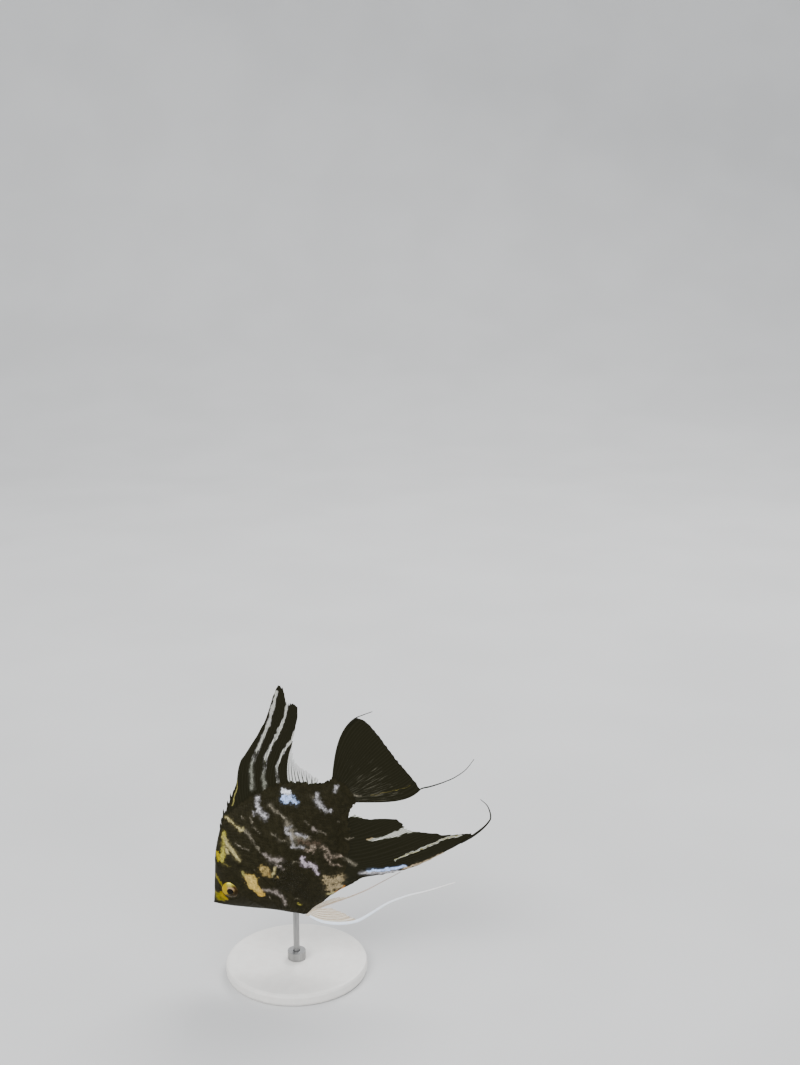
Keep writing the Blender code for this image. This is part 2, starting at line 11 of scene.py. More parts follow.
import bpy
import numpy as np
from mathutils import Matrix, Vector


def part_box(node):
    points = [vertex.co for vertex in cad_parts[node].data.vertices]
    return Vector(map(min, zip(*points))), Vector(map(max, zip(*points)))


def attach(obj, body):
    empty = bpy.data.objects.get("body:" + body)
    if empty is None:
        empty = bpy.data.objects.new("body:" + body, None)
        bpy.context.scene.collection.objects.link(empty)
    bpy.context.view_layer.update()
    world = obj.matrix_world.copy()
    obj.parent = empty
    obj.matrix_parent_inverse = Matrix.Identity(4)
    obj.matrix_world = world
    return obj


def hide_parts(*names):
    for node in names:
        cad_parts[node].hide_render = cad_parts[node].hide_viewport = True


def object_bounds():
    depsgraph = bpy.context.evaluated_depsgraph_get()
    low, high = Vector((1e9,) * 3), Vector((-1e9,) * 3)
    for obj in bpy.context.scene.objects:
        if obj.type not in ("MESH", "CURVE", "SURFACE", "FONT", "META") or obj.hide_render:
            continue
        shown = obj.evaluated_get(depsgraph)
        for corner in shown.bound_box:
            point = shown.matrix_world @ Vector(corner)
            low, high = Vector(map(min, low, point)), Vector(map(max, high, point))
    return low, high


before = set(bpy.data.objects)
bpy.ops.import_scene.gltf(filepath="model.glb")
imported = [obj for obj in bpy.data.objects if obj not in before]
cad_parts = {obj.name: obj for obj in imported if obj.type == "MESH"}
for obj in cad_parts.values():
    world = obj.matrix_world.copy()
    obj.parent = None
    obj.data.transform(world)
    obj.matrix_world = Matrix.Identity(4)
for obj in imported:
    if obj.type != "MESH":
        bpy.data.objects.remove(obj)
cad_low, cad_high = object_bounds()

MM = 0.001
TURN = 2 * math.pi
BODY_LENGTH = 0.085
NOSE_DOWN = math.radians(42.2)
COAT = 0.25 * MM / BODY_LENGTH       # the scales' depth over the skin

# ---------------- the body
def thousandths(*rows):
    """A table of lengths given in thousandths of the body length."""
    return np.array(rows) / 1000


BACK = thousandths((-10, 2), (0, 13), (30, 37), (120, 119), (230, 223), (330, 295), (400, 333),
                   (470, 343), (560, 322), (680, 258), (800, 176), (890, 114), (950, 92), (1020, 90))
BELLY = thousandths((-10, -4), (0, -17), (30, -56), (120, -160), (220, -268), (300, -372), (345, -420),
                    (400, -416), (470, -426), (540, -424), (610, -388), (700, -305), (790, -212),
                    (870, -136), (930, -98), (1020, -84))
HALF_WIDTH = thousandths((-10, 4), (0, 18), (40, 37), (120, 62), (220, 82), (340, 94), (460, 92),
                         (600, 73), (750, 50), (880, 34), (1020, 22))
WIDEST = thousandths((-10, -1), (150, -10), (400, -30), (700, -14), (1020, 2))
KEEL = [(-0.010, 1.0), (0.12, 1.15), (0.34, 1.45), (0.60, 1.6), (0.90, 1.3), (1.02, 1.2)]
SKIN_END = 1.015
CLOSES_FROM, CLOSED = 0.965, 0.99    # where the side starts to close at the tail base, and how far
HEAD_END = 0.36
HEAD_STATIONS, TRUNK_STATIONS, SKIN_ACROSS = 170, 120, 240
HEAD_CROWDING = 1.3                  # how much closer the stations lie towards the snout

EYE = (0.150, 0.005)
EYE_RADIUS = 0.050
EYE_DEPTH = 0.028
EYE_STANDS_OUT = 0.0165
EYE_REACH = 0.03             # the cheek's slope is read this far ahead of the eye and behind it
IRIS = 0.0530                # radius of what shows of the eye
EYE_OPEN = 1.12              # the dressed ball is this much wider than the solid one

# Lines on the head: (s, t).
MOUTH = thousandths((-20, -1), (0, -3), (20, -11), (36, -22))
UPPER_LIP = thousandths((-20, 6), (-4, 6), (20, 0), (36, -11), (42, -23))
LOWER_LIP = thousandths((-20, -8), (0, -14), (18, -22), (34, -32), (42, -25))
LIP_FOLD = thousandths((12, 38), (30, 18), (50, -6), (60, -32), (62, -60))
JAW_FOLD = thousandths((62, -60), (85, -78), (110, -120))
NOSTRIL = (0.080, 0.042)
GILL_EDGE = thousandths((268, 98), (300, 85), (326, 50), (343, -10), (350, -75), (347, -135), (333, -195),
                        (308, -250), (268, -292))
CHEEK_EDGE = thousandths((200, 88), (218, 45), (229, -10), (228, -70), (208, -122), (160, -150),
                         (110, -130))
# Where the body's own scales begin, from the nape to the throat.
SCALES_FROM = thousandths((200, 450), (255, 250), (295, 150), (325, 60), (345, -30), (352, -100),
                          (337, -190), (305, -262), (262, -305), (235, -450))


# ---------------- curves and fields
def through(points, x):
    """Curve through (x, y) points that never overshoots them: cubic pieces whose slope at a point is
    the harmonic mean of its neighbours' slopes, and zero at a peak or a dip."""
    table = np.array(points, float)
    px, py = table[:, 0], table[:, 1]
    step = np.diff(px)
    slope = np.diff(py) / step
    tangent = np.concatenate([slope[:1], np.zeros(len(px) - 2), slope[-1:]])
    rising = slope[:-1] * slope[1:] > 0
    total = np.where(rising, slope[:-1] + slope[1:], 1.0)
    tangent[1:-1] = np.where(rising, 2 * slope[:-1] * slope[1:] / total, 0.0)
    x = np.clip(np.asarray(x, float), px[0], px[-1])
    i = np.clip(np.searchsorted(px, x, side="right") - 1, 0, len(step) - 1)
    u = (x - px[i]) / step[i]
    return ((1 + 2 * u) * (1 - u) ** 2 * py[i] + u * (1 - u) ** 2 * step[i] * tangent[i]
            + u * u * (3 - 2 * u) * py[i + 1] + u * u * (u - 1) * step[i] * tangent[i + 1])


def along(points, u):
    """Point on the smooth curve through points of any dimension, u from 0 to 1 by length."""
    table = np.array(points, float)
    reach = np.concatenate([[0.0], np.cumsum(np.linalg.norm(np.diff(table, axis=0), axis=1))])
    columns = [through(np.c_[reach / reach[-1], table[:, k]], u) for k in range(table.shape[1])]
    return np.stack(columns, -1)


def rise_between(low, high, x):
    """0 below low, 1 above high, and 3u^2 - 2u^3 between them."""
    u = np.clip((x - low) / (high - low), 0, 1)
    return u * u * (3 - 2 * u)


def bump(x, width):
    """Bell curve exp(-(x / width)^2)."""
    return np.exp(-(x / width) ** 2)


WAVES, EVENED = 12, 3.5      # the second brings the sum of the waves to about -1 to 1


def ripple(points, size, seed):
    """Smooth noise, mostly from -1 to 1: twelve plane sine waves of about the given wavelength, whose
    directions and phases are drawn from a seeded generator, added and evened out."""
    draw = np.random.default_rng(seed)
    waves = draw.normal(size=(WAVES, points.shape[-1]))
    waves *= (TURN / size * draw.uniform(0.6, 1.6, WAVES) / np.linalg.norm(waves, axis=1))[:, None]
    return np.sin(points @ waves.T + draw.uniform(0, TURN, WAVES)).sum(-1) / EVENED


def nearest_on(path, s, t):
    """For each (s, t): its distance from a polyline, the signed distance (positive on the left hand of
    the way that the line runs) and how far along the line the nearest point is, from 0 to 1."""
    path = np.array(path, float)
    steps = np.linalg.norm(np.diff(path, axis=0), axis=1)
    reach = np.concatenate([[0.0], np.cumsum(steps)]) / steps.sum()
    best, side, place = np.full(np.shape(s), np.inf), np.zeros(np.shape(s)), np.zeros(np.shape(s))
    for a, b, low, high in zip(path[:-1], path[1:], reach[:-1], reach[1:]):
        run = b - a
        share = np.clip(((s - a[0]) * run[0] + (t - a[1]) * run[1]) / (run @ run), 0, 1)
        ds, dt = s - a[0] - share * run[0], t - a[1] - share * run[1]
        distance = np.hypot(ds, dt)
        closer = distance < best
        best = np.where(closer, distance, best)
        side = np.where(closer, np.sign(run[0] * dt - run[1] * ds), side)
        place = np.where(closer, low + share * (high - low), place)
    return best, best * side, place


def smooth_line(points, count=25):
    """The smooth curve through points, as a line of evenly spaced places."""
    return along(points, np.linspace(0, 1, count))


# ---------------- from the fish to the world
def half_width(s, t):
    """Half the body's width at a point of the side view: widest at its axis, nothing at the keels."""
    axis = through(WIDEST, s)
    back, belly = through(BACK, s), through(BELLY, s)
    rise = np.where(t >= axis, (t - axis) / (back - axis), (axis - t) / (axis - belly))
    return through(HALF_WIDTH, s) * (1 - np.clip(rise, 0, 1) ** 2) ** (through(KEEL, s) / 2)


def closing(s):
    """Behind the tail base the side closes like a quarter of a circle: sqrt(1 - 0.99 u^2)."""
    return np.sqrt(1 - CLOSED * np.clip((s - CLOSES_FROM) / (SKIN_END - CLOSES_FROM), 0, 1) ** 2)


COS, SIN = math.cos(NOSE_DOWN), math.sin(NOSE_DOWN)
EYE_SIDE = float(half_width(*EYE)) + EYE_STANDS_OUT - EYE_DEPTH
CHEEK_RISE = float(half_width(EYE[0] + EYE_REACH, EYE[1]) - half_width(EYE[0] - EYE_REACH, EYE[1]))
EYE_TURN = math.atan2(CHEEK_RISE, 2 * EYE_REACH)
eye_centre = np.array([tuple(corner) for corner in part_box("eye_left")]).mean(0)
eye_from_snout = np.array([EYE[0] * COS - EYE[1] * SIN, -EYE_SIDE, EYE[0] * SIN + EYE[1] * COS])
SNOUT = eye_centre - BODY_LENGTH * eye_from_snout


def turned(points):
    """World metres of fish points (s, y, t): turned nose down about the snout, x = s cos - t sin and
    z = s sin + t cos."""
    s, y, t = points[..., 0], points[..., 1], points[..., 2]
    return SNOUT + BODY_LENGTH * np.stack([s * COS - t * SIN, y, s * SIN + t * COS], -1)


def normals_of(points, closed=False):
    """Unit normals of a grid of points: the cross product of its two central differences. With closed,
    the second direction runs round and meets itself."""
    first = np.gradient(points, axis=0)
    if closed:
        second = np.roll(points, -1, axis=1) - np.roll(points, 1, axis=1)
    else:
        second = np.gradient(points, axis=1)
    normal = np.cross(first, second)
    return normal / np.maximum(np.linalg.norm(normal, axis=-1, keepdims=True), 1e-12)


# ---------------- mesh makers
def volume_of(points, quads):
    """Signed volume inside a mesh, about its middle: a sixth of the sum of a . (b x c) over its
    triangles."""
    corner = (points - points.mean(0))[quads]
    halves = [np.einsum("ij,ij->", corner[:, 0], np.cross(corner[:, b], corner[:, b + 1])) for b in (1, 2)]
    return sum(halves) / 6


def mesh_of(name, points, faces, finish):
    """A smooth mesh of points and faces with its material."""
    mesh = bpy.data.meshes.new(name)
    mesh.from_pydata(points.reshape(-1, 3).tolist(), [], faces)
    mesh.shade_smooth()
    mesh.materials.append(finish)
    return mesh


def placed(name, data):
    """A new object of the scene, at the origin."""
    thing = bpy.data.objects.new(name, data)
    bpy.context.scene.collection.objects.link(thing)
    return thing


def piece(name, points, quads, finish, caps, floats, colours=None, uv=None):
    """A smooth closed mesh in world metres, its faces turned outwards, with its attributes, its material
    and its place on the fish. uv gives the bake map's (u, v) for each corner of each quad."""
    points = points.reshape(-1, 3)
    quads = np.asarray(quads).reshape(-1, 4)
    if volume_of(points, quads) < 0:
        quads = quads[:, ::-1]
        caps = [cap[::-1] for cap in caps]
        uv = None if uv is None else uv[:, ::-1]
    mesh = mesh_of(name, points, quads.tolist() + [cap.tolist() for cap in caps], finish)
    for key, values in floats.items():
        layer = mesh.attributes.new(key, "FLOAT", "POINT")
        layer.data.foreach_set("value", np.ascontiguousarray(values, np.float32).ravel())
    for key, values in (colours or {}).items():
        values = values.reshape(-1, 3)
        layer = mesh.attributes.new(key, "FLOAT_COLOR", "POINT")
        layer.data.foreach_set("color", np.c_[values, np.ones(len(values))].astype(np.float32).ravel())
    if uv is not None:
        layer = mesh.uv_layers.new(name="OFBake")
        corners = np.zeros((len(mesh.loops), 2), np.float32)
        corners[:uv.size // 2] = uv.reshape(-1, 2)
        layer.data.foreach_set("uv", corners.ravel())
    thing = placed(name, mesh)
    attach(thing, "root")
    return thing


def grid_quads(columns, rows, start=0):
    """Quads of a grid of points stored column by column."""
    corner = start + (np.arange(columns - 1)[:, None] * rows + np.arange(rows - 1)[None, :]).ravel()
    return np.stack([corner, corner + rows, corner + rows + 1, corner + 1], -1)


def wall_quads(columns, rows):
    """Quads of a closed sheet: two grids, the second stored after the first, and the wall round them."""
    size = columns * rows
    rim = np.concatenate([np.arange(columns) * rows, (columns - 1) * rows + np.arange(1, rows),
                          np.arange(columns - 2, -1, -1) * rows + rows - 1, np.arange(rows - 2, 0, -1)])
    after = np.roll(rim, -1)
    wall = np.stack([rim, rim + size, after + size, after], -1)
    return np.concatenate([grid_quads(columns, rows), grid_quads(columns, rows, size)[:, ::-1], wall])


def tube_quads(rings, around):
    """Quads of a tube whose rings of points are stored one after another, and its two end faces."""
    corner, j = np.arange(rings - 1)[:, None] * around, np.arange(around)
    ahead = (j + 1) % around
    quads = np.stack([corner + j, corner + around + j, corner + around + ahead, corner + ahead], -1)
    return quads.reshape(-1, 4), [j, (rings - 1) * around + j[::-1]]


def sheet(name, points, half, finish, floats, colours):
    """A thin closed sheet about a grid of world points, reaching half either way along its normals."""
    columns, rows = points.shape[:2]
    offset = normals_of(points) * half[..., None]
    both = np.concatenate([(points + offset).reshape(-1, 3), (points - offset).reshape(-1, 3)])
    floats = {key: np.tile(values.ravel(), 2) for key, values in floats.items()}
    colours = {key: np.tile(values.reshape(-1, 3), (2, 1)) for key, values in colours.items()}
    return piece(name, both, wall_quads(columns, rows), finish, (), floats, colours)


def thread(name, route, radii, finish, sides=12, spans=110):
    """A round thread along the smooth curve through fish points, closed at both ends. Its radius in
    millimetres is read along it from a table of (place, radius), and reach runs from 0 to 1."""
    place = np.linspace(0, 1, spans)
    line = turned(along(route, place))
    tangent = np.gradient(line, axis=0)
    tangent /= np.linalg.norm(tangent, axis=1, keepdims=True)
    across = np.cross(tangent, [0.0, 1.0, 0.0])
    across /= np.linalg.norm(across, axis=1, keepdims=True)
    upright = np.cross(across, tangent)
    turn = np.arange(sides) * TURN / sides
    ring = np.cos(turn)[None, :, None] * across[:, None] + np.sin(turn)[None, :, None] * upright[:, None]
    points = line[:, None] + ring * MM * through(radii, place)[:, None, None]
    quads, caps = tube_quads(spans, sides)
    return piece(name, points, quads, finish, caps, {"reach": np.repeat(place, sides)})


# ---------------- markings
# A mark's colour, and how far the dark ground shows through it.
TINTS = {
    "white": (0.78, 0.80, 0.86, 0.22), "blue": (0.44, 0.60, 0.98, 0.26), "silver": (0.50, 0.48, 0.50, 0.72),
    "grey": (0.23, 0.205, 0.155, 0.82), "lavender": (0.56, 0.47, 0.54, 0.45),
    "lavgrey": (0.34, 0.29, 0.26, 0.70), "rose": (0.33, 0.26, 0.20, 0.85),
    "brown": (0.085, 0.058, 0.040, 0.75), "beige": (0.35, 0.275, 0.152, 0.36),
    "cream": (0.51, 0.36, 0.09, 0.08), "apricot": (0.53, 0.335, 0.062, 0.05),
    "pale": (0.46, 0.395, 0.18, 0.50), "yellow": (0.33, 0.255, 0.0, 0.10), "amber": (0.235, 0.166, 0.0, 0.12),
    "mustard": (0.16, 0.13, 0.004, 0.30), "moss": (0.27, 0.24, 0.07, 0.40), "blush": (0.40, 0.31, 0.20, 0.45),
    "yellowgreen": (0.365, 0.325, 0.055, 0.32), "olive": (0.12, 0.10, 0.025, 0.55),
    "gold": (0.46, 0.33, 0.115, 0.70), "snout": (0.16, 0.136, 0.0, 0.30), "orange": (0.40, 0.17, 0.035, 0.40)}
# Brush strokes of the left flank by region, in thousandths of the body length: tint, half widths at the
# start and the end, (s, t) points.
STROKES = [
    # snout
    ("snout", 22, 12, [(58, 26), (47, 2), (62, -22)]), ("amber", 19, 14, [(77, 18), (78, 0), (83, -26)]),
    ("mustard", 8, 10, [(132, 122), (128, 93), (125, 69), (122, 46)]),
    # nape
    ("yellowgreen", 14, 16, [(352, 278), (306, 233), (277, 205)]),
    ("yellowgreen", 19, 18, [(279, 203), (246, 182), (228, 168)]),
    ("yellow", 20, 17, [(230, 203), (216, 184)]), ("olive", 12, 7, [(229, 153), (234, 134), (248, 114)]),
    ("pale", 17, 19, [(332, 256), (324, 210), (322, 168), (317, 122)]),
    ("pale", 12, 10, [(300, 216), (287, 180)]), ("olive", 26, 20, [(305, 240), (282, 196)]),
    # shoulder
    ("pale", 12, 13, [(415, 335), (430, 305), (433, 265), (455, 225)]),
    ("grey", 13, 5, [(460, 215), (462, 180), (452, 130), (445, 60)]),
    ("grey", 7, 5, [(368, 190), (382, 155), (400, 120)]), ("grey", 5, 4, [(496, 287), (494, 266)]),
    # cheek
    ("moss", 11, 15, [(284, 45), (280, 27)]), ("cream", 18, 33, [(282, 18), (292, -12)]),
    ("cream", 33, 34, [(291, -14), (273, -42)]), ("cream", 34, 19, [(273, -42), (268, -80), (268, -100)]),
    ("apricot", 19, 16, [(269, -100), (266, -136)]), ("grey", 5, 3, [(285, -170), (280, -190)]),
    # gill: the lavender-grey arc down the gill cover's rear edge is the pale gill membrane with a painted
    # highlight along its raised edge
    ("lavgrey", 12, 16, [(295, -118), (320, -150), (338, -172)]),
    ("lavgrey", 15, 9, [(336, -178), (340, -218), (332, -252), (312, -280)]),
    ("grey", 4, 4, [(345, 18), (345, 6)]),
    # behind gill
    ("gold", 9, 14, [(391, 6), (372, -18), (370, -45)]),
    ("gold", 12, 13, [(402, -20), (400, -48), (386, -76)]), ("gold", 20, 17, [(386, -12), (386, -56)]),
    ("pale", 10, 8, [(392, -88), (420, -75), (445, -55)]), ("orange", 6, 5, [(395, -52), (396, -70)]),
    ("gold", 6, 4, [(412, -108), (411, -124)]), ("lavgrey", 10, 18, [(450, 55), (458, 20), (462, -5)]),
    ("lavgrey", 20, 15, [(462, -10), (478, -25), (500, -52)]),
    ("lavgrey", 12, 7, [(458, -45), (466, -70), (470, -100)]),
    # under the back
    ("silver", 15, 12, [(630, 300), (612, 275)]),
    ("silver", 13, 20, [(606, 268), (595, 238), (597, 200)]), ("silver", 10, 8, [(560, 256), (590, 248)]),
    ("grey", 7, 4, [(552, 255), (522, 240), (512, 205), (515, 145)]),
    ("grey", 12, 8, [(660, 232), (660, 190), (675, 150)]),
    ("grey", 9, 12, [(675, 132), (676, 110), (670, 85)]),
    # pale blotch
    ("white", 23, 20, [(772, 226), (780, 202)]), ("blue", 24, 23, [(742, 196), (766, 176)]),
    ("blue", 19, 14, [(778, 158), (780, 134)]),
    # middle
    ("silver", 12, 14, [(640, 68), (664, 55)]), ("silver", 11, 15, [(630, 50), (640, 22)]),
    ("white", 6, 7, [(628, 2), (622, -8)]), ("silver", 14, 10, [(640, 22), (625, -8), (616, -32)]),
    ("grey", 22, 26, [(668, 88), (650, 30), (615, -30)]),
    ("grey", 20, 16, [(640, 10), (668, -30), (690, -62)]),
    ("silver", 15, 9, [(656, 16), (674, -10), (690, -50)]),
    ("silver", 15, 9, [(616, -20), (600, -36), (620, -55), (640, -85)]),
    ("grey", 7, 5, [(560, 106), (575, 82), (568, 62)]), ("grey", 9, 6, [(565, 46), (585, 26), (600, 14)]),
    ("brown", 18, 22, [(650, -25), (668, -70), (708, -125)]),
    ("rose", 12, 11, [(640, -100), (650, -122), (680, -131)]), ("rose", 9, 8, [(668, -106), (696, -116)]),
    ("rose", 9, 6, [(650, -146), (672, -152)]),
    # hind middle
    ("grey", 8, 6, [(750, 27), (746, 2), (750, -28)]), ("lavgrey", 14, 10, [(750, -38), (756, -62)]),
    ("grey", 7, 5, [(758, -68), (770, -92), (780, -120)]),
    # lower rear
    ("rose", 17, 14, [(710, -160), (720, -190)]),
    ("rose", 14, 11, [(706, -208), (706, -246), (740, -290)]),
    ("rose", 9, 6, [(685, -204), (678, -250), (670, -280), (700, -330)]),
    ("grey", 10, 13, [(745, -308), (750, -345), (760, -380)]), ("grey", 4, 4, [(872, -108), (877, -120)]),
    ("grey", 5, 4, [(836, -226), (870, -252)]),
    # belly
    ("lavender", 13, 15, [(590, -124), (566, -150), (575, -168)]),
    ("lavender", 13, 14, [(574, -166), (600, -200)]),
    ("lavender", 15, 9, [(600, -205), (592, -236), (580, -266)]),
    ("grey", 5, 4, [(520, -110), (545, -106), (565, -130)]),
    ("beige", 33, 32, [(594, -350), (636, -384)]), ("beige", 32, 28, [(562, -386), (600, -414)]),
    ("beige", 16, 18, [(592, -308), (570, -330)]),
    ("orange", 10, 8, [(553, -428), (585, -446), (620, -440)]),
    ("pale", 12, 14, [(515, -402), (548, -426)]), ("grey", 4, 4, [(380, -286), (400, -306)]),
    ("yellowgreen", 9, 7, [(368, -322), (375, -340)]),
    # tail stalk
    ("silver", 9, 16, [(904, 94), (888, 82), (877, 62)]),
    ("silver", 17, 12, [(877, 60), (874, 30), (874, 8)]),
    ("silver", 11, 10, [(874, 4), (872, -16), (896, -31)]), ("grey", 6, 6, [(866, 114), (870, 94)]),
    ("silver", 11, 9, [(1010, 46), (986, 36)])]
BLENDING = 7.0               # how sharply one stroke gives way to the next
FARTHEST = 3                 # distances beyond this many half widths count the same
RIGHT_SIDE_STEP = 1.5        # how far the right side's noise lies from the left side's
RIGHT_SIDE_WARP, WARP_SIZE = 0.030, 0.30     # how far the right side's marks wander, and over what
WANDERS, WANDER_SIZES = (0.0040, 0.0024), (0.032, 0.014)


def brushed(strokes, s, t):
    """How strongly each (s, t) lies in the strokes: 1 at a stroke's middle, 0 at its edge and less
    outside, ln(sum of exp(k x)) / k over the strokes, with their tints weighted by exp(k x)."""
    total, tint = np.full(np.shape(s), 1e-9), np.zeros((*np.shape(s), 4))
    for colour, first, last, path in strokes:
        distance, _, place = nearest_on(np.array(path) / 1000, s, t)
        half = first / 1000 + (last / 1000 - first / 1000) * place
        weight = np.exp(BLENDING * (1 - np.minimum(distance / half, FARTHEST)))
        total = total + weight
        tint = tint + weight[..., None] * np.array(TINTS[colour])
    return np.log(total) / BLENDING, tint / total[..., None]


def body_marks(s, y, t):
    """Marks of the flanks: the strokes, read at a place that wanders a little on the left side and
    further on the right, since no two sides of a marbled fish are alike."""
    where = np.stack([s, t, RIGHT_SIDE_STEP * rise_between(0.0, 0.05, y)], -1)
    far = RIGHT_SIDE_WARP * rise_between(0.0, 0.045, y)
    shifts = [far * ripple(where, WARP_SIZE, seed) + WANDERS[0] * ripple(where, WANDER_SIZES[0], seed + 1)
              + WANDERS[1] * ripple(where, WANDER_SIZES[1], seed + 2) for seed in (3, 6)]
    return brushed(STROKES, s + shifts[0], t + shifts[1])


# ---------------- shader groups
def linked(value):
    """Whether an input's value comes from another node's socket."""
    return isinstance(value, bpy.types.NodeSocket)


def feed(made, inputs):
    """Links each of a node's inputs or sets it to a value. A plain colour is opaque."""
    for key, value in inputs.items():
        if linked(value):
            made.id_data.links.new(value, made.inputs[key])
        elif made.inputs[key].type == "RGBA":
            made.inputs[key].default_value = (*value, 1.0)
        else:
            made.inputs[key].default_value = value


def node(tree, kind, inputs=None, **settings):
    """A shader node with its settings and its inputs."""
    made = tree.nodes.new(kind)
    for key, value in settings.items():
        setattr(made, key, value)
    feed(made, inputs or {})
    return made


def maths(operation, first, second=0.0, clamped=False):
    """One sum, in the tree of whichever value is linked."""
    tree = (first if linked(first) else second).id_data
    made = node(tree, "ShaderNodeMath", {0: first, 1: second}, operation=operation, use_clamp=clamped)
    return made.outputs[0]


def times(first, second, clamped=False):
    """The product of two values."""
    return maths("MULTIPLY", first, second, clamped)


def plus(first, second, clamped=False):
    """The sum of two values."""
    return maths("ADD", first, second, clamped)


def minus(first, second):
    """The first value less the second."""
    return maths("SUBTRACT", first, second)


def blended(factor, first, second):
    """The first colour where the linked factor is 0 and the second where it is 1."""
    inputs = {0: factor, 6: first, 7: second}
    return node(factor.id_data, "ShaderNodeMix", inputs, data_type="RGBA").outputs[2]


def eased(value, low, high, start=0.0, end=1.0):
    """start where the linked value is below low, end above high, and a smooth step between them."""
    inputs = {"Value": value, "From Min": low, "From Max": high, "To Min": start, "To Max": end}
    made = node(value.id_data, "ShaderNodeMapRange", inputs, interpolation_type="SMOOTHSTEP")
    return made.outputs["Result"]


def object_place(tree):
    """Places on a piece, in metres."""
    return node(tree, "ShaderNodeTexCoord").outputs["Object"]


def noise(tree, scale, detail, roughness, stretch=None):
    """Noise on Object coordinates, its scale in features a metre, or stretched along an axis."""
    place = object_place(tree)
    if stretch:
        place = node(tree, "ShaderNodeMapping", {"Vector": place, "Scale": stretch}).outputs[0]
    inputs = {"Vector": place, "Scale": scale, "Detail": detail, "Roughness": roughness}
    return node(tree, "ShaderNodeTexNoise", inputs).outputs["Fac"]


def attribute(tree, name, kind="Fac"):
    """A value or colour that the mesh holds at its points."""
    return node(tree, "ShaderNodeAttribute", attribute_name=name).outputs[kind]


def group(name, inputs, outputs):
    """A new shader group with its named sockets: floats, or colours where the default is a triple."""
    tree = bpy.data.node_groups.new(name, "ShaderNodeTree")
    for label, default in inputs.items():
        colour = isinstance(default, tuple)
        kind = "NodeSocketColor" if colour else "NodeSocketFloat"
        socket = tree.interface.new_socket(name=label, in_out="INPUT", socket_type=kind)
        socket.default_value = (*default, 1.0) if colour else default
    for label, kind in outputs.items():
        tree.interface.new_socket(name=label, in_out="OUTPUT", socket_type="NodeSocket" + kind)
    return tree, tree.nodes.new("NodeGroupInput").outputs, tree.nodes.new("NodeGroupOutput")


# Features a metre of the noises in a mark, and how far the first one moves the mark's edge.
EDGE_NOISE, NET_CELLS, CLOUD_NOISE, SPECK_NOISE, PIGMENT_NOISE = 700.0, 1150.0, 330.0, 2300.0, 1500.0
EDGE_REACH = 3.2


def marking_group():
    """Turns a stroke's strength into a mask: a core with a ragged edge and, where the mark is holed, a
    softer edge, a dim halo, clouds and a net of pale threads. The pigment is brightest at its middle."""
    inputs = {"Strength": 0.0, "Raggedness": 1.0, "Holes": 0.5, "Tint": (1, 1, 1)}
    tree, given, out = group("marking", inputs, {"Mask": "Float", "Pigment": "Color"})
    holes = given["Holes"]
    ragged = minus(noise(tree, EDGE_NOISE, 5, 0.66), 0.5)
    edge = plus(given["Strength"], times(ragged, times(given["Raggedness"], EDGE_REACH)))
    core = eased(edge, 0.0, plus(0.22, times(holes, 1.05)))
    halo = times(eased(edge, -0.75, 0.30, 0.0, 0.30), holes)
    cells = node(tree, "ShaderNodeTexVoronoi", {"Vector": object_place(tree), "Scale": NET_CELLS},
                 feature="DISTANCE_TO_EDGE")
    net = eased(cells.outputs["Distance"], 0.02, 0.30, 1.0, 0.22)
    cloud = eased(noise(tree, CLOUD_NOISE, 3, 0.6), 0.36, 0.62, 0.35, 1.0)
    speck = eased(noise(tree, SPECK_NOISE, 3, 0.65), 0.36, 0.56, 0.45, 1.0)
    closed = times(times(net, cloud), speck)
    kept = minus(1.0, times(holes, minus(1.0, closed)))
    mask = times(plus(core, halo, True), kept, True)
    mottled = eased(noise(tree, PIGMENT_NOISE, 3, 0.6), 0.25, 0.75, 0.70, 1.25)
    bright = times(mottled, eased(edge, 0.0, 1.2, 0.80, 1.20))
    shade = node(tree, "ShaderNodeVectorMath", {0: given["Tint"], "Scale": bright}, operation="SCALE")
    feed(out, {"Mask": mask, "Pigment": shade.outputs[0]})
    return tree


JOINT_HEIGHT = 0.15          # of a ray's own height


def ray_group():
    """Fin rays across the ray coordinate: one line at each whole number, two finer ones beyond the
    fork, and the joints across each ray."""
    inputs = {"Ray": 0.0, "Reach": 0.0, "Fork": 0.6, "Joints": 60.0}
    tree, given, out = group("fin_rays", inputs, {"Line": "Float", "Height": "Float"})

    def line(crowding, low):
        """A line at each ray, or at each half as well: the cosine of the ray's number, kept over low."""
        return eased(maths("COSINE", times(given["Ray"], TURN * crowding)), low, 1.0)

    forked = eased(minus(given["Reach"], given["Fork"]), -0.08, 0.12)
    single, double = line(1, 0.35), line(2, 0.20)
    lines = plus(times(single, minus(1.0, forked)), times(double, forked))
    joint = maths("SINE", times(given["Reach"], times(given["Joints"], TURN)))
    feed(out, {"Line": lines, "Height": plus(lines, times(times(joint, lines), JOINT_HEIGHT))})
    return tree


BROAD_SHARE = 0.13           # the broad grain's features a metre as a share of the fine grain's
STREAKS_ACROSS, STREAKS_ALONG = 5.6, 3.6


def grain_group():
    """Fine unevenness of a surface: a height for a bump and a value about a half for tones."""
    tree, given, out = group("grain", {"Fineness": 2500.0}, {"Tone": "Float", "Height": "Float"})
    fine, broad = given["Fineness"], times(given["Fineness"], BROAD_SHARE)
    place = object_place(tree)
    height, tone = (node(tree, "ShaderNodeTexNoise", {"Vector": place, "Scale": scale, "Detail": 2.0})
                    for scale in (fine, broad))
    feed(out, {"Tone": tone.outputs["Fac"], "Height": height.outputs["Fac"]})
    return tree


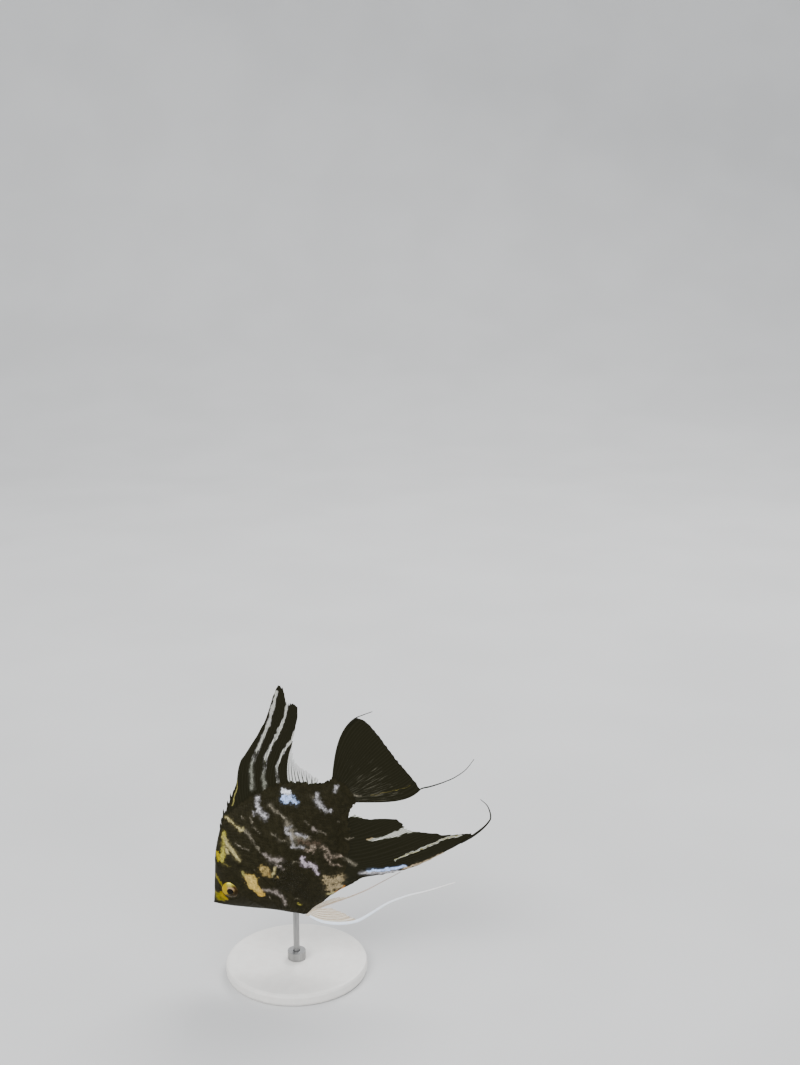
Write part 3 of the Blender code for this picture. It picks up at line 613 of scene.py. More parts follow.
def streak_group():
    """Short fine strokes along the rays: noise stretched along them, kept where it is brightest."""
    tree, given, out = group("streaks", {"Ray": 0.0, "Reach": 0.0, "Amount": 0.0}, {"Mask": "Float"})
    place = node(tree, "ShaderNodeCombineXYZ", {"X": times(given["Ray"], STREAKS_ACROSS),
                                                "Y": times(given["Reach"], STREAKS_ALONG)})
    inputs = {"Vector": place.outputs[0], "Scale": 1.0, "Detail": 3.0, "Roughness": 0.6}
    grain = node(tree, "ShaderNodeTexNoise", inputs)
    least = minus(0.75, times(given["Amount"], 0.20))
    feed(out, {"Mask": eased(minus(grain.outputs["Fac"], least), 0.0, 0.10)})
    return tree


MARKING, RAYS, GRAIN, STREAKS = marking_group(), ray_group(), grain_group(), streak_group()


def use(tree, shared, inputs):
    """The outputs of a shared group placed in a material with its own values."""
    made = node(tree, "ShaderNodeGroup", node_tree=shared)
    feed(made, inputs)
    return made.outputs


def finish(name):
    """A new material, its node tree and its Principled shader."""
    made = bpy.data.materials.new(name)
    made.use_nodes = True
    return made, made.node_tree, made.node_tree.nodes["Principled BSDF"]


def wire(shader, inputs, height=None, strength=0.0, depth=0.0):
    """The shader's inputs, and a bump from a linked height, its depth in millimetres."""
    feed(shader, inputs)
    if height is not None:
        inputs = {"Height": height, "Strength": strength, "Distance": depth * MM}
        feed(shader, {"Normal": node(height.id_data, "ShaderNodeBump", inputs).outputs[0]})


# ---------------- materials
BLACK_WARM, BLACK_PALE = (0.0092, 0.0078, 0.0016), (0.0165, 0.0140, 0.0050)
SCALE_RIM = (0.027, 0.024, 0.013)
DARK_RAY, DARK_HAIR, PALE_STREAK = (0.026, 0.023, 0.014), (0.015, 0.013, 0.010), (0.074, 0.069, 0.050)
WET_GLOSS = 0.09             # specular level of skin, scales and fins


def coat_finish(name, scaled):
    """Marbled skin or scales: warm black ground, pearly marks, each scale a little its own tone with a
    fine paler rim."""
    made, tree, shader = finish(name)
    marks = use(tree, MARKING, {
        "Strength": attribute(tree, "strength"), "Tint": attribute(tree, "tint", "Color"),
        "Raggedness": attribute(tree, "ragged"), "Holes": attribute(tree, "holes")})
    grain = use(tree, GRAIN, {"Fineness": 3200.0})
    own = attribute(tree, "own")
    toned = plus(grain["Tone"], times(own, 0.25))
    ground = blended(eased(toned, 0.45, 0.90), BLACK_WARM, BLACK_PALE)
    pigment = marks["Pigment"]
    if scaled:
        ground = blended(eased(attribute(tree, "free"), 0.84, 1.0, 0.0, 0.30), ground, SCALE_RIM)
        pigment = blended(eased(own, 0.0, 0.7, 0.30, 0.0), pigment, BLACK_PALE)
    colour = blended(marks["Mask"], ground, pigment)
    rough = eased(marks["Mask"], 0.0, 1.0, 0.56, 0.36)
    pearl = times(marks["Mask"], 0.22)
    wire(shader, {"Base Color": colour, "Roughness": rough, "Metallic": pearl,
                  "Specular IOR Level": WET_GLOSS}, grain["Height"], 0.20, 0.05)
    return made


def film_finish(name, dark, film, opacity, ray_opacity, ray_tone, sheen=0.5, ray_pale=(0.80, 0.78, 0.70)):
    """A fin's film and rays: dark pigment where it is neither clear nor pale, with pale streaks along
    the rays, pale pigment in its marks, and a clear film between pale or dark rays where it is clear."""
    made, tree, shader = finish(name)
    ray, reach = attribute(tree, "ray"), attribute(tree, "reach")
    rays = use(tree, RAYS, {"Ray": ray, "Reach": reach, "Fork": attribute(tree, "fork")})
    streaks = use(tree, STREAKS, {"Ray": ray, "Reach": reach, "Amount": attribute(tree, "streaky")})
    pale = use(tree, MARKING, {"Strength": attribute(tree, "pale"), "Tint": attribute(tree, "tint", "Color"),
                               "Raggedness": 0.6, "Holes": attribute(tree, "holes")})
    clear = eased(attribute(tree, "clear"), -0.05, 0.45)
    ground = blended(times(rays["Line"], ray_tone), dark, DARK_RAY)
    ground = blended(times(streaks["Mask"], 0.80), ground, PALE_STREAK)
    hair = attribute(tree, "hair")
    ray_colour = blended(hair, ray_pale, DARK_HAIR)
    open_film = blended(rays["Line"], film, ray_colour)
    colour = blended(pale["Mask"], blended(clear, ground, open_film), pale["Pigment"])
    fading = times(hair, eased(reach, 0.45, 1.05))
    solid_ray = times(rays["Line"], minus(1.0, fading))
    between = eased(hair, 0.0, 1.0, opacity, 0.3 * opacity)
    film_alpha = eased(solid_ray, 0.0, 1.0, between, ray_opacity)
    covered = maths("MAXIMUM", pale["Mask"], minus(1.0, clear))
    seen_through = times(film_alpha, minus(1.0, covered))
    alpha = plus(covered, seen_through, True)
    wire(shader, {"Base Color": colour, "Roughness": sheen, "Alpha": alpha,
                  "Specular IOR Level": WET_GLOSS}, rays["Height"], 0.25, 0.10)
    return made


THREAD_JOINTS = 520.0        # radians of a sine along a thread


def thread_finish(name, root, tip, gloss=0.25):
    """A ray's thread: the root's colour turning to the tip's, with faint joints across it."""
    made, tree, shader = finish(name)
    reach = attribute(tree, "reach")
    grain = use(tree, GRAIN, {"Fineness": 4000.0})
    joint = maths("SINE", times(reach, THREAD_JOINTS))
    colour = blended(eased(reach, 0.30, 1.0), root, tip)
    colour = blended(eased(grain["Tone"], 0.35, 0.75, 0.0, 0.25), colour, tip)
    wire(shader, {"Base Color": colour, "Roughness": 0.46, "Specular IOR Level": gloss},
         plus(joint, grain["Height"]), 0.15, 0.03)
    return made


def eye_finish():
    """A fish eye: black pupil, its thin bright ring, an iris yellow ahead and rosy white behind and above,
    whose pale top is a painted highlight, with fine fibres, a brown arc low behind, a painted shade darkening
    its lower part, and a dark rim, under a clear wet coat."""
    made, tree, shader = finish("eye_wet")
    pupil, rim = attribute(tree, "pupil"), attribute(tree, "rim")
    mottle = noise(tree, 1700, 3, 0.6)
    fibre = times(maths("SINE", plus(attribute(tree, "spoke"), times(mottle, 9.0))), 0.10)
    stirred = times(minus(mottle, 0.5), 0.9)

    def toward(direction, low, high):
        """How far the iris lies that way from its middle, stirred by the mottle."""
        return eased(plus(attribute(tree, direction), stirred), low, high)

    # painted highlight: the iris runs from dark brown to pale yellow towards its top, behind and above, as if
    # lit from above
    iris = blended(toward("above", 0.30, 0.85), (0.125, 0.078, 0.028), (0.56, 0.50, 0.070))
    fibres = eased(plus(mottle, fibre), 0.50, 0.70, 0.0, 0.40)
    iris = blended(fibres, iris, (0.14, 0.09, 0.025))
    near = eased(pupil, 1.75, 1.2)
    iris = blended(times(near, toward("above", 0.06, 0.32)), iris, (0.36, 0.235, 0.145))
    iris = blended(toward("ahead", 0.02, 0.28), iris, (0.380, 0.262, 0.0))
    arc = times(eased(rim, 0.52, 0.62), eased(rim, 0.84, 0.76))
    iris = blended(times(arc, toward("behind", 0.10, 0.42)), iris, (0.050, 0.026, 0.008))
    ring = times(eased(pupil, 1.0, 1.04), eased(pupil, 1.22, 1.08))
    iris = blended(times(ring, 0.45), iris, (0.34, 0.25, 0.08))
    tan = times(eased(rim, 0.80, 0.88), toward("behind", 0.05, 0.40))
    iris = blended(times(tan, 0.8), iris, (0.46, 0.32, 0.115))
    # painted shade: the iris darkened almost to black towards its lower part
    low = times(toward("under", 0.02, 0.34), eased(rim, 0.97, 0.84, 0.40, 0.97))
    iris = blended(low, iris, (0.022, 0.014, 0.004))
    iris = blended(eased(rim, 0.965, 1.0), iris, (0.020, 0.016, 0.008))
    colour = blended(eased(pupil, 0.97, 1.04), (0.005, 0.0035, 0.002), iris)
    metal = eased(pupil, 1.0, 1.1, 0.0, 0.42)
    wet = eased(pupil, 0.9, 1.2, 0.12, 0.05)
    wire(shader, {"Base Color": colour, "Roughness": 0.24, "Metallic": metal, "Coat Weight": wet,
                  "Coat Roughness": 0.02, "Specular IOR Level": 0.05}, mottle, 0.08, 0.05)
    return made


def stand_paint():
    """Satin warm grey paint, barely uneven."""
    made, tree, shader = finish("stand_paint_satin")
    grain = use(tree, GRAIN, {"Fineness": 1800.0})
    colour = blended(eased(grain["Tone"], 0.3, 0.7), (0.73, 0.71, 0.67), (0.77, 0.75, 0.71))
    rough = eased(grain["Tone"], 0.3, 0.7, 0.46, 0.56)
    wire(shader, {"Base Color": colour, "Roughness": rough}, grain["Height"], 0.12, 0.05)
    return made


def brushed_steel():
    """Steel with fine brushing up its length."""
    made, tree, shader = finish("stand_steel_brushed")
    lines = noise(tree, 4200, 2, 0.5, stretch=(1.0, 1.0, 0.02))
    colour = blended(eased(lines, 0.3, 0.7), (0.26, 0.26, 0.26), (0.36, 0.36, 0.355))
    rough = eased(lines, 0.3, 0.7, 0.34, 0.46)
    wire(shader, {"Base Color": colour, "Roughness": rough, "Metallic": 1.0}, lines, 0.08, 0.02)
    return made


def studio_floor():
    """Matt pale grey."""
    made, tree, shader = finish("studio_floor")
    grain = use(tree, GRAIN, {"Fineness": 60.0})
    colour = blended(eased(grain["Tone"], 0.3, 0.7), (0.56, 0.56, 0.555), (0.59, 0.59, 0.585))
    wire(shader, {"Base Color": colour, "Roughness": 0.8})
    return made


# ---------------- skin
SNOUT_BACK, SNOUT_DROP = 0.0065, 0.0055    # the snout's tip lies this far behind the plain form's and below
# How far the skin rises at each place and how wide, a negative height for a groove.
LIPS = [(UPPER_LIP, 0.0007, 0.0070), (LOWER_LIP, 0.0008, 0.0070), (MOUTH, -0.0034, 0.0030)]
FOLDS = [(LIP_FOLD, 0.0008, 0.0034), (JAW_FOLD, 0.0004, 0.0040)]
NOSTRIL_RINGS = [(0.0, -0.0048, 0.0036), (0.0070, 0.0010, 0.0028)]
EYE_RINGS = [(0.0605, 0.0024, 0.0055), (0.0730, -0.0012, 0.0060), (0.0, -0.0100, 0.044)]
# The raised edges of the gill cover and the cheek: the height and how far it runs back to nothing.
GILL_PLATE, GILL_PLATE_RUN, GILL_SLIT = 0.0052, 0.035, 0.0034
CHEEK_PLATE, CHEEK_PLATE_RUN, CHEEK_GROOVE = 0.0018, 0.016, 0.0022
PLATE_GROOVE_WIDTH = 0.0035
UNEVEN, UNEVEN_SIZE = 0.0003, 0.035


def ring_point(s, turn):
    """Body surface at station s and angle turn about its axis: the side is the half width times
    |cos|^keel, and t is the axis plus the sine's share of the way to the back or the belly. Behind the
    tail base the side closes like a quarter of a circle, and at the snout the ring shifts a little."""
    side, rise = np.cos(turn), np.sin(turn)
    axis, back, belly = through(WIDEST, s), through(BACK, s), through(BELLY, s)
    t = axis + np.where(rise > 0, (back - axis) * rise, (axis - belly) * rise)
    y = through(HALF_WIDTH, s) * closing(s) * np.sign(side) * np.abs(side) ** through(KEEL, s)
    blunt = rise_between(0.10, -0.01, s)
    return np.stack([s + SNOUT_BACK * blunt + 0 * t, y, t - SNOUT_DROP * blunt], -1)


def relief(s, t):
    """How far the skin stands out from the plain form: lips on both sides of the mouth's groove, the
    folds behind them, a nostril, the eye's rim, the cheek and the gill cover's raised rear edge. Between
    the snout and the cheek it also sinks by the coat's depth."""
    out = sum(high * bump(nearest_on(smooth_line(line), s, t)[0], width) for line, high, width in LIPS)
    for fold, depth, width in FOLDS:
        distance, _, place = nearest_on(smooth_line(fold), s, t)
        out = out - depth * bump(distance, width) * np.sin(np.pi * np.clip(place, 0.02, 0.98)) ** 0.5
        out = out + 0.3 * depth * bump(distance - 1.9 * width, width)
    for middle, rings in ((NOSTRIL, NOSTRIL_RINGS), (EYE, EYE_RINGS)):
        distance = np.hypot(s - middle[0], t - middle[1])
        for radius, high, width in rings:
            out = out + high * bump(distance - radius, width)
    _, signed, place = nearest_on(smooth_line(GILL_EDGE), s, t)
    ends = rise_between(0.0, 0.08, place) * rise_between(1.0, 0.93, place)
    plate = GILL_PLATE * np.exp(-np.clip(-signed, 0, None) / GILL_PLATE_RUN)
    plate *= rise_between(0.0022, -0.0022, signed)
    out = out + ends * (plate - GILL_SLIT * bump(signed - 0.0042, PLATE_GROOVE_WIDTH))
    _, signed, place = nearest_on(smooth_line(CHEEK_EDGE), s, t)
    ends = rise_between(0.0, 0.12, place) * rise_between(1.0, 0.85, place)
    plate = CHEEK_PLATE * np.exp(-np.clip(signed, 0, None) / CHEEK_PLATE_RUN)
    plate *= rise_between(-0.002, 0.002, signed)
    out = out + ends * (plate - CHEEK_GROOVE * bump(signed + 0.0030, PLATE_GROOVE_WIDTH))
    uneven = UNEVEN * ripple(np.stack([s, t], -1), UNEVEN_SIZE, 11) * rise_between(0.0, 0.06, s)
    return out + uneven - COAT * rise_between(0.10, 0.20, s)


def skin_point(s, turn):
    """The ring surface pushed along its own normals by the relief. s and turn are grids."""
    plain = ring_point(s, turn)
    closed = abs(turn[0, -1] - turn[0, 0]) > TURN * 0.98
    return plain + normals_of(plain, closed) * relief(plain[..., 0], plain[..., 2])[..., None]


# One flank's places by station and by arc: the length round the ring from the body's widest line, as
# a share of its whole length to the back (0 to 1) or to the belly (0 to -1).
FLANK_S = np.linspace(0.02, 1.03, 420)
FLANK_SHARE = np.linspace(-1, 1, 361)
half_turn = np.linspace(-np.pi / 2, np.pi / 2, 721)
flank_rings = ring_point(FLANK_S[:, None], half_turn[None, :])
steps = np.linalg.norm(np.diff(flank_rings[..., 1:], axis=1), axis=-1)
arcs = np.concatenate([np.zeros((len(FLANK_S), 1)), np.cumsum(steps, axis=1)], axis=1)
widest = len(half_turn) // 2
arcs -= arcs[:, widest:widest + 1]
ARC_UP, ARC_DOWN = arcs[:, -1], -arcs[:, 0]
lengths = np.where(FLANK_SHARE > 0, ARC_UP[:, None] * FLANK_SHARE, ARC_DOWN[:, None] * FLANK_SHARE)
FLANK_TURN = np.stack([np.interp(row, ring, half_turn) for row, ring in zip(lengths, arcs)])
flank_skin = skin_point(np.repeat(FLANK_S[:, None], len(FLANK_SHARE), 1), FLANK_TURN)
flank_normals = normals_of(flank_skin)
flank_normals *= np.sign(flank_normals[..., 1].mean())


def share_of(s, arc):
    """An arc length at station s as a share of the way to the back or the belly."""
    whole = np.where(arc > 0, np.interp(s, FLANK_S, ARC_UP), np.interp(s, FLANK_S, ARC_DOWN))
    return arc / whole


def on_flank(table, s, share):
    """Reads a flank table at (s, share) by blending its four nearest entries."""
    x, z = (np.clip((value - steps[0]) / (steps[1] - steps[0]), 0, len(steps) - 1.001)
            for value, steps in ((s, FLANK_S), (share, FLANK_SHARE)))
    i, j = x.astype(int), z.astype(int)
    u, v = (x - i)[..., None], (z - j)[..., None]
    return ((1 - u) * (1 - v) * table[i, j] + u * (1 - v) * table[i + 1, j]
            + (1 - u) * v * table[i, j + 1] + u * v * table[i + 1, j + 1])


def unwrapped(s, arc, side):
    """Place of a skin point on the bake map: s across it and the arc up it, the left flank in its lower
    half and the right flank in its upper half."""
    return np.stack([0.02 + 0.96 * (s + 0.012) / 1.06, 0.5 + side * 0.25 + arc * 0.5], -1)


def coat_attributes(points, own, free):
    """What skin and scales hold at each point: the marks' strength, tint and holes, the scale's own
    tone, how free it is of the scales ahead, and raggedness, since marks have a smoother edge on the
    head than on the scaled body."""
    s, y, t = points[..., 0], points[..., 1], points[..., 2]
    strength, tint = body_marks(s, y, t)
    ragged = 0.45 + 0.55 * rise_between(0.26, 0.42, s)
    return {"strength": strength, "own": own + 0 * s, "free": free + 0 * s, "ragged": ragged,
            "holes": tint[..., 3]}, {"tint": tint[..., :3]}


def build_skin():
    """One closed skin of rings along s, crowded at the head, from the snout's cap to the tail's."""
    head = BACK[0][0] + (HEAD_END - BACK[0][0]) * np.linspace(0, 1, HEAD_STATIONS) ** HEAD_CROWDING
    s = np.concatenate([head, np.linspace(HEAD_END, SKIN_END, TRUNK_STATIONS + 1)[1:]])
    turn = -np.pi / 2 + np.arange(SKIN_ACROSS) * TURN / SKIN_ACROSS
    points = skin_point(*np.meshgrid(s, turn, indexing="ij"))
    quads, caps = tube_quads(len(s), SKIN_ACROSS)
    half_way = SKIN_ACROSS // 2
    side = np.where(np.tile(np.arange(SKIN_ACROSS) < half_way, len(s) - 1), 1, -1)
    steps = np.linalg.norm(np.diff(np.concatenate([points, points[:, :1]], 1)[..., 1:], axis=1), axis=-1)
    up_right = np.concatenate([np.zeros((len(s), 1)), np.cumsum(steps[:, :half_way], 1)], 1)
    middle = half_way // 2
    flank_arc = up_right - up_right[:, middle:middle + 1]
    arc_right = np.concatenate([flank_arc, flank_arc[:, -2:0:-1]], 1)
    place = unwrapped(points[..., 0].ravel()[quads], arc_right.ravel()[quads], side[:, None])
    floats, colours = coat_attributes(points, 0.5, 0.0)
    body_skin = piece("body_skin", turned(points), quads, coat_finish("skin_marbled", False), caps, floats,
                      colours, place)
    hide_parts("head", "lower_jaw", "gill_cover_left", "gill_cover_right", "trunk", "tail_stalk")


# ---------------- scales
SCALE_SPACING, ROW_SPACING = 0.0185, 0.0135      # of the largest scales: along the body, and between rows
SCALE_HALF_LENGTH, SCALE_HALF_HEIGHT = 0.0160, 0.0165
SCALE_GROWTH = [(0.15, 0.56), (0.28, 0.72), (0.45, 1.0), (0.80, 1.0), (1.07, 0.66)]
SCALE_LIFT = [(0.15, 0.22), (0.34, 0.28), (0.50, 0.42), (1.05, 0.34)]
COAT_REACH, COAT_EDGE = (0.165, 0.990), 0.985    # where roots lie, along the body and up the flank
MOST_ROWS = 62               # above the body's widest line, and as many below it
OFF_COVER, OFF_TRUNK = 0.0115, 0.0105    # the gill cover's edge is bare this far on either side
OFF_EYE = 0.076
SCALE_GRID = 5               # a scale's places along and across
SCALE_POINTS = 2 * SCALE_GRID ** 2
SCALE_UNEVEN, ROOT_UNEVEN = 0.07, 0.055
SCALE_PATCH = 0.0015         # half a scale's size on the bake map
# Shares of a scale's lift: how deep its front is sunk, its rise to the rear, its dome, how far one
# differs from the next, its thickness at the ends and what its middle adds to that.
SUNK, RISES, DOMED, STRAYS, THICK, THICKER = 0.45, 1.45, 0.22, 0.24, 0.32, 0.15
FACE_FROM, THROAT_FROM = 0.178, -0.12        # the face's scales start here, and further back below this


def one_scale():
    """A scale's grid of places (ahead to rear, low to high), each from -1 to 1, squeezed from a square
    to a disc: x = a sqrt(1 - b^2 / 2), z = b sqrt(1 - a^2 / 2)."""
    line = np.linspace(-1, 1, SCALE_GRID)
    a, b = (grid.ravel() for grid in np.meshgrid(line, line, indexing="ij"))
    return a * np.sqrt(1 - b * b / 2), b * np.sqrt(1 - a * a / 2)


def spread_scales(growth, seed):
    """The scales' places about their roots, each a little its own size and turn: along and across in
    body lengths, with each scale's own tone."""
    draw = np.random.default_rng(seed)
    count = len(growth)
    own = draw.uniform(0, 1, count)
    x, z = one_scale()
    size = (1 + draw.normal(0, SCALE_UNEVEN, (count, 2))) * growth[:, None]
    tilt = draw.normal(0, SCALE_UNEVEN, (count, 1))
    dx, dz = x * SCALE_HALF_LENGTH * size[:, :1], z * SCALE_HALF_HEIGHT * size[:, 1:]
    return dx - dz * tilt, dz + dx * tilt, own


def lay_scales(name, ground, normal, lift, own, place):
    """A coat of scales as one mesh: each a thin closed lens on its patch of ground, its front edge sunk
    in the skin and its rear edge raised over the next. place holds the roots on the bake map."""
    count = len(own)
    x, z = one_scale()
    lift = lift[:, None]
    height = lift * (-SUNK + RISES * (x + 1) / 2 + DOMED * (1 - z * z) + STRAYS * (own[:, None] - 0.5))
    top = ground + normal * height[..., None]
    low = top - normal * (lift * (THICK + THICKER * (1 - x * x)))[..., None]
    points = np.concatenate([top, low], 1)
    first = np.arange(count)[:, None, None] * SCALE_POINTS
    quads = (wall_quads(SCALE_GRID, SCALE_GRID)[None] + first).reshape(-1, 4)
    patch = np.tile(np.stack([x, z], -1) * SCALE_PATCH, (2, 1))
    uv = (place[:, None] + patch).reshape(-1, 2)[quads]
    floats, colours = coat_attributes(points, own[:, None], np.tile((x + 1) / 2, 2))
    coat = piece(name, turned(points), quads, SCALE_FINISH, (), floats, colours, uv)


def scale_roots(seed):
    """Roots of one flank's scales: they step along the body by their own size, in rows that spread as
    the scales grow, every other row half a step back, all a little uneven."""
    draw = np.random.default_rng(seed)
    line = np.linspace(*COAT_REACH, 400)
    steps = np.cumsum(1 / through(SCALE_GROWTH, line)) * (line[1] - line[0]) / SCALE_SPACING
    rows = np.arange(-MOST_ROWS, MOST_ROWS + 1)[:, None]
    count = np.arange(int(steps[-1]))[None, :] + 0.5 * (rows % 2)
    count = count + draw.normal(0, ROOT_UNEVEN, count.shape)
    s = np.interp(count, steps, line)
    arc = (rows + draw.normal(0, ROOT_UNEVEN, count.shape)) * ROW_SPACING * through(SCALE_GROWTH, s)
    s, arc = s.ravel(), arc.ravel()
    share = share_of(s, arc)
    inside = np.abs(share) < COAT_EDGE
    s, arc, share = s[inside], arc[inside], share[inside]
    return s, arc, on_flank(flank_skin, s, share)[..., 2]


def coat_body():
    """The flanks' scales from the gill opening and the nape to the tail base, and those of the nape,
    the cheek and the gill cover, which leave the gill cover's edge and the eye's rim free."""
    border, cover = smooth_line(SCALES_FROM, 60), smooth_line(GILL_EDGE, 40)
    for side, word in ((-1, "left"), (1, "right")):
        s, arc, t = scale_roots(20 + side)
        along_s, across, own = spread_scales(through(SCALE_GROWTH, s), 30 + side)
        places, arcs_there = s[:, None] + along_s, arc[:, None] + across
        share = np.clip(share_of(places, arcs_there), -1, 1)
        turn_side = np.array([1.0, side, 1.0])
        ground = on_flank(flank_skin, places, share) * turn_side
        normal = on_flank(flank_normals, places, share) * turn_side
        lift, place = COAT * through(SCALE_LIFT, s), unwrapped(s, arc, side)
        behind = nearest_on(border, s, t)[1]
        edge, at = nearest_on(cover, s, t)[1:]
        off_edge = (edge < -OFF_COVER) | (edge > OFF_TRUNK) | (at < 0.02) | (at > 0.98)
        off_eye = np.hypot(s - EYE[0], t - EYE[1]) > OFF_EYE
        on_face = s > FACE_FROM + 0.25 * np.clip(THROAT_FROM - t, 0, 1)
        face = (behind < 0.001) & off_edge & off_eye & on_face
        for name, slot, kept in (("flank_scales_", "dark_scales", (behind >= 0.001) & off_edge),
                                 ("head_scales_", "gold_plate", face)):
            lay_scales(name + word, ground[kept], normal[kept], lift[kept], own[kept], place[kept])


# Where scales climb onto a fin: its root along the body, how far up the fin, and the rays' angle.
DORSAL_SHEATH = ([(0.52, 0.0), (0.62, 0.034), (0.78, 0.085), (0.88, 0.050), (0.95, 0.022)],
                 [(0.52, 61), (0.75, 67), (0.90, 45)])
ANAL_SHEATH = ([(0.60, 0.0), (0.68, 0.050), (0.80, 0.070), (0.90, 0.040), (0.96, 0.020)],
               [(0.58, -18), (0.66, -44), (0.90, -44)])
TAIL_SHEATH_FAN = 140        # degrees for each body length up the tail's root
TAIL_SHEATH = thousandths((-92, 30), (0, 62), (96, 30))
SHEATH_SCALE, SHEATH_LIFT, SHEATH_THINS = 0.72, 0.20, 3.0
SHEATH_HALF = 0.86           # half the fin's thickness at its root, in millimetres
STEEPEST, TINY = 1.0, 0.002  # the steepest slope that a scale's ground has, and the step that reads it


def skin_side(s, t, fin_half):
    """How far out the side lies at (s, t): the body's half width, which closes behind the tail base,
    or the fin's half thickness where that is more."""
    inside = (t < through(BACK, s)) & (t > through(BELLY, s)) & (s < SKIN_END)
    return np.maximum(np.where(inside, half_width(s, t) * closing(s), 0.0), fin_half)


def lay_sheath(name, root, climb, angle, seed):
    """Scales at a fin's base on both its sides: each lies along its ray, on the body's side or the
    fin's, with its normal from the slope of that side."""
    thinned = SHEATH_THINS * np.clip(climb, 0, 0.1)
    growth = SHEATH_SCALE * through(SCALE_GROWTH, root[:, 0]) * (1 - thinned)
    along_ray, across, own = spread_scales(growth, seed)
    direction = heading(angle)
    centre = root + climb[:, None] * direction
    s = centre[:, :1] + along_ray * direction[:, :1] - across * direction[:, 1:]
    t = centre[:, 1:] + along_ray * direction[:, 1:] + across * direction[:, :1]
    fin_half = MM / BODY_LENGTH * (SHEATH_HALF - thinned)[:, None]
    out = skin_side(s, t, fin_half)
    rear, above = skin_side(s + TINY, t, fin_half) - out, skin_side(s, t + TINY, fin_half) - out
    slope = np.stack([rear, np.full(s.shape, -TINY), above], -1)
    slope[..., ::2] = np.clip(slope[..., ::2], -STEEPEST * TINY, STEEPEST * TINY)
    normal = -slope / np.linalg.norm(slope, axis=-1, keepdims=True)
    ground = np.stack([s, out, t], -1)
    both = [(ground * (1, side, 1), normal * (1, side, 1)) for side in (-1, 1)]
    low, high = root.min(0), root.max(0) + 0.1
    flat = (centre - low) / (high - low) * (0.96, 0.46)
    place = np.concatenate([0.02 + flat + (0.0, half) for half in (0.0, 0.5)])
    ground, normal = (np.concatenate(pair) for pair in zip(*both))
    lift = np.full(2 * len(own), COAT * SHEATH_LIFT)
    lay_scales(name, ground, normal, lift, np.tile(own, 2), place)


def sheath_places(seed, columns, rows, starts, spacings, end, climbs, patchy):
    """Places of a sheath's scales along a fin's root and how far each climbs: rows half a step apart,
    a little uneven, kept where they climb less than a table says."""
    draw = np.random.default_rng(seed)
    column, row = np.meshgrid(np.arange(columns), np.arange(rows), indexing="ij")
    place = starts[0] + (column + 0.5 * (row % 2) + draw.normal(0, 0.06, column.shape)) * spacings[0]
    climb = starts[1] + row * spacings[1] + draw.normal(0, 0.0006, column.shape)
    kept = (place < end) & (climb < through(climbs, place) * draw.uniform(patchy, 1.0, place.shape))
    return place[kept], climb[kept]


def coat_fin_bases():
    """Sheaths of scales on the roots of the dorsal, anal and tail fins."""
    for name, margin, (climbs, angles), seed in (("dorsal_sheath_scales", BACK, DORSAL_SHEATH, 91),
                                                 ("anal_sheath_scales", BELLY, ANAL_SHEATH, 92)):
        start = (climbs[0][0], -0.006)
        s, climb = sheath_places(seed, 60, 12, start, (0.0110, 0.0085), 0.985, climbs, 0.75)
        lay_sheath(name, np.stack([s, through(margin, s)], -1), climb, through(angles, s), seed + 10)
    t, climb = sheath_places(93, 24, 10, (-0.090, -0.020), (0.0080, 0.0090), 0.093, TAIL_SHEATH, 0.8)
    root = np.stack([np.full(len(t), 1.0), t], -1)
    lay_sheath("tail_sheath_scales", root, climb, TAIL_SHEATH_FAN * t, 103)


# ---------------- fins on the mid plane
DORSAL_RAYS = [
    (0.372, 70, 0.385, 0.345, 60), (0.42, 66, 0.450, 0.374, 48), (0.46, 64, 0.511, 0.402, 45),
    (0.50, 63, 0.606, 0.448, 42), (0.54, 62, 0.715, 0.527, 38), (0.57, 62, 0.850, 0.565, 34),
    (0.595, 62, 1.000, 0.620, 36), (0.615, 63, 1.120, 0.688, 45), (0.64, 64, 1.183, 0.716, 52),
    (0.66, 65, 1.191, 0.688, 54), (0.675, 66, 1.150, 0.613, 50), (0.69, 66, 1.160, 0.593, 48),
    (0.72, 67, 1.176, 0.562, 42), (0.75, 68, 1.152, 0.520, 36), (0.768, 68, 1.077, 0.461, 27),
    (0.785, 68, 1.012, 0.412, 22), (0.81, 64, 0.968, 0.362, 28), (0.84, 58, 0.938, 0.300, 38),
    (0.87, 50, 0.945, 0.232, 42), (0.902, 42, 0.966, 0.150, 40)]
ANAL_RAYS = [
    (0.535, -10, 0.600, -0.441, -14), (0.56, -12, 0.675, -0.457, -20), (0.58, -16, 0.744, -0.468, -24),
    (0.598, -20, 0.845, -0.541, -48), (0.613, -28, 0.957, -0.600, -39), (0.627, -36, 1.100, -0.650, -29),
    (0.640, -42, 1.250, -0.685, -20), (0.655, -45, 1.384, -0.708, -14), (0.668, -46, 1.392, -0.690, -14),
    (0.682, -46, 1.345, -0.655, -22), (0.70, -46, 1.287, -0.611, -28), (0.73, -45, 1.196, -0.511, -28),
    (0.76, -44, 1.139, -0.443, -25), (0.785, -43, 1.128, -0.405, -22), (0.81, -42, 1.133, -0.352, -25),
    (0.835, -42, 1.065, -0.275, -28), (0.86, -42, 1.006, -0.225, -38), (0.885, -45, 0.970, -0.150, -40)]
TAIL_EDGE = [(-1.0, 1.352, -0.288), (-0.8, 1.362, -0.213), (-0.4, 1.370, -0.115), (0.0, 1.380, -0.004),
             (0.4, 1.392, 0.110), (0.7, 1.398, 0.184), (0.92, 1.390, 0.244), (1.0, 1.368, 0.280)]
TAIL_ROOT, TAIL_ROOT_HEIGHT, TAIL_BASE = 0.080, 0.003, 1.0035
TAIL_FAN, TAIL_TURN, TAIL_STIFFNESS = 42.0, 8.0, 0.33
TAIL_RAYS = 16
RAYS_PER_GUIDE, COLUMNS_PER_GUIDE = 2, 14
FIN_SUNK = 0.028             # how deep a fin's rays start inside the body
ROOT_OUT = 0.0035            # how far outside the body's margin a long fin's roots are set

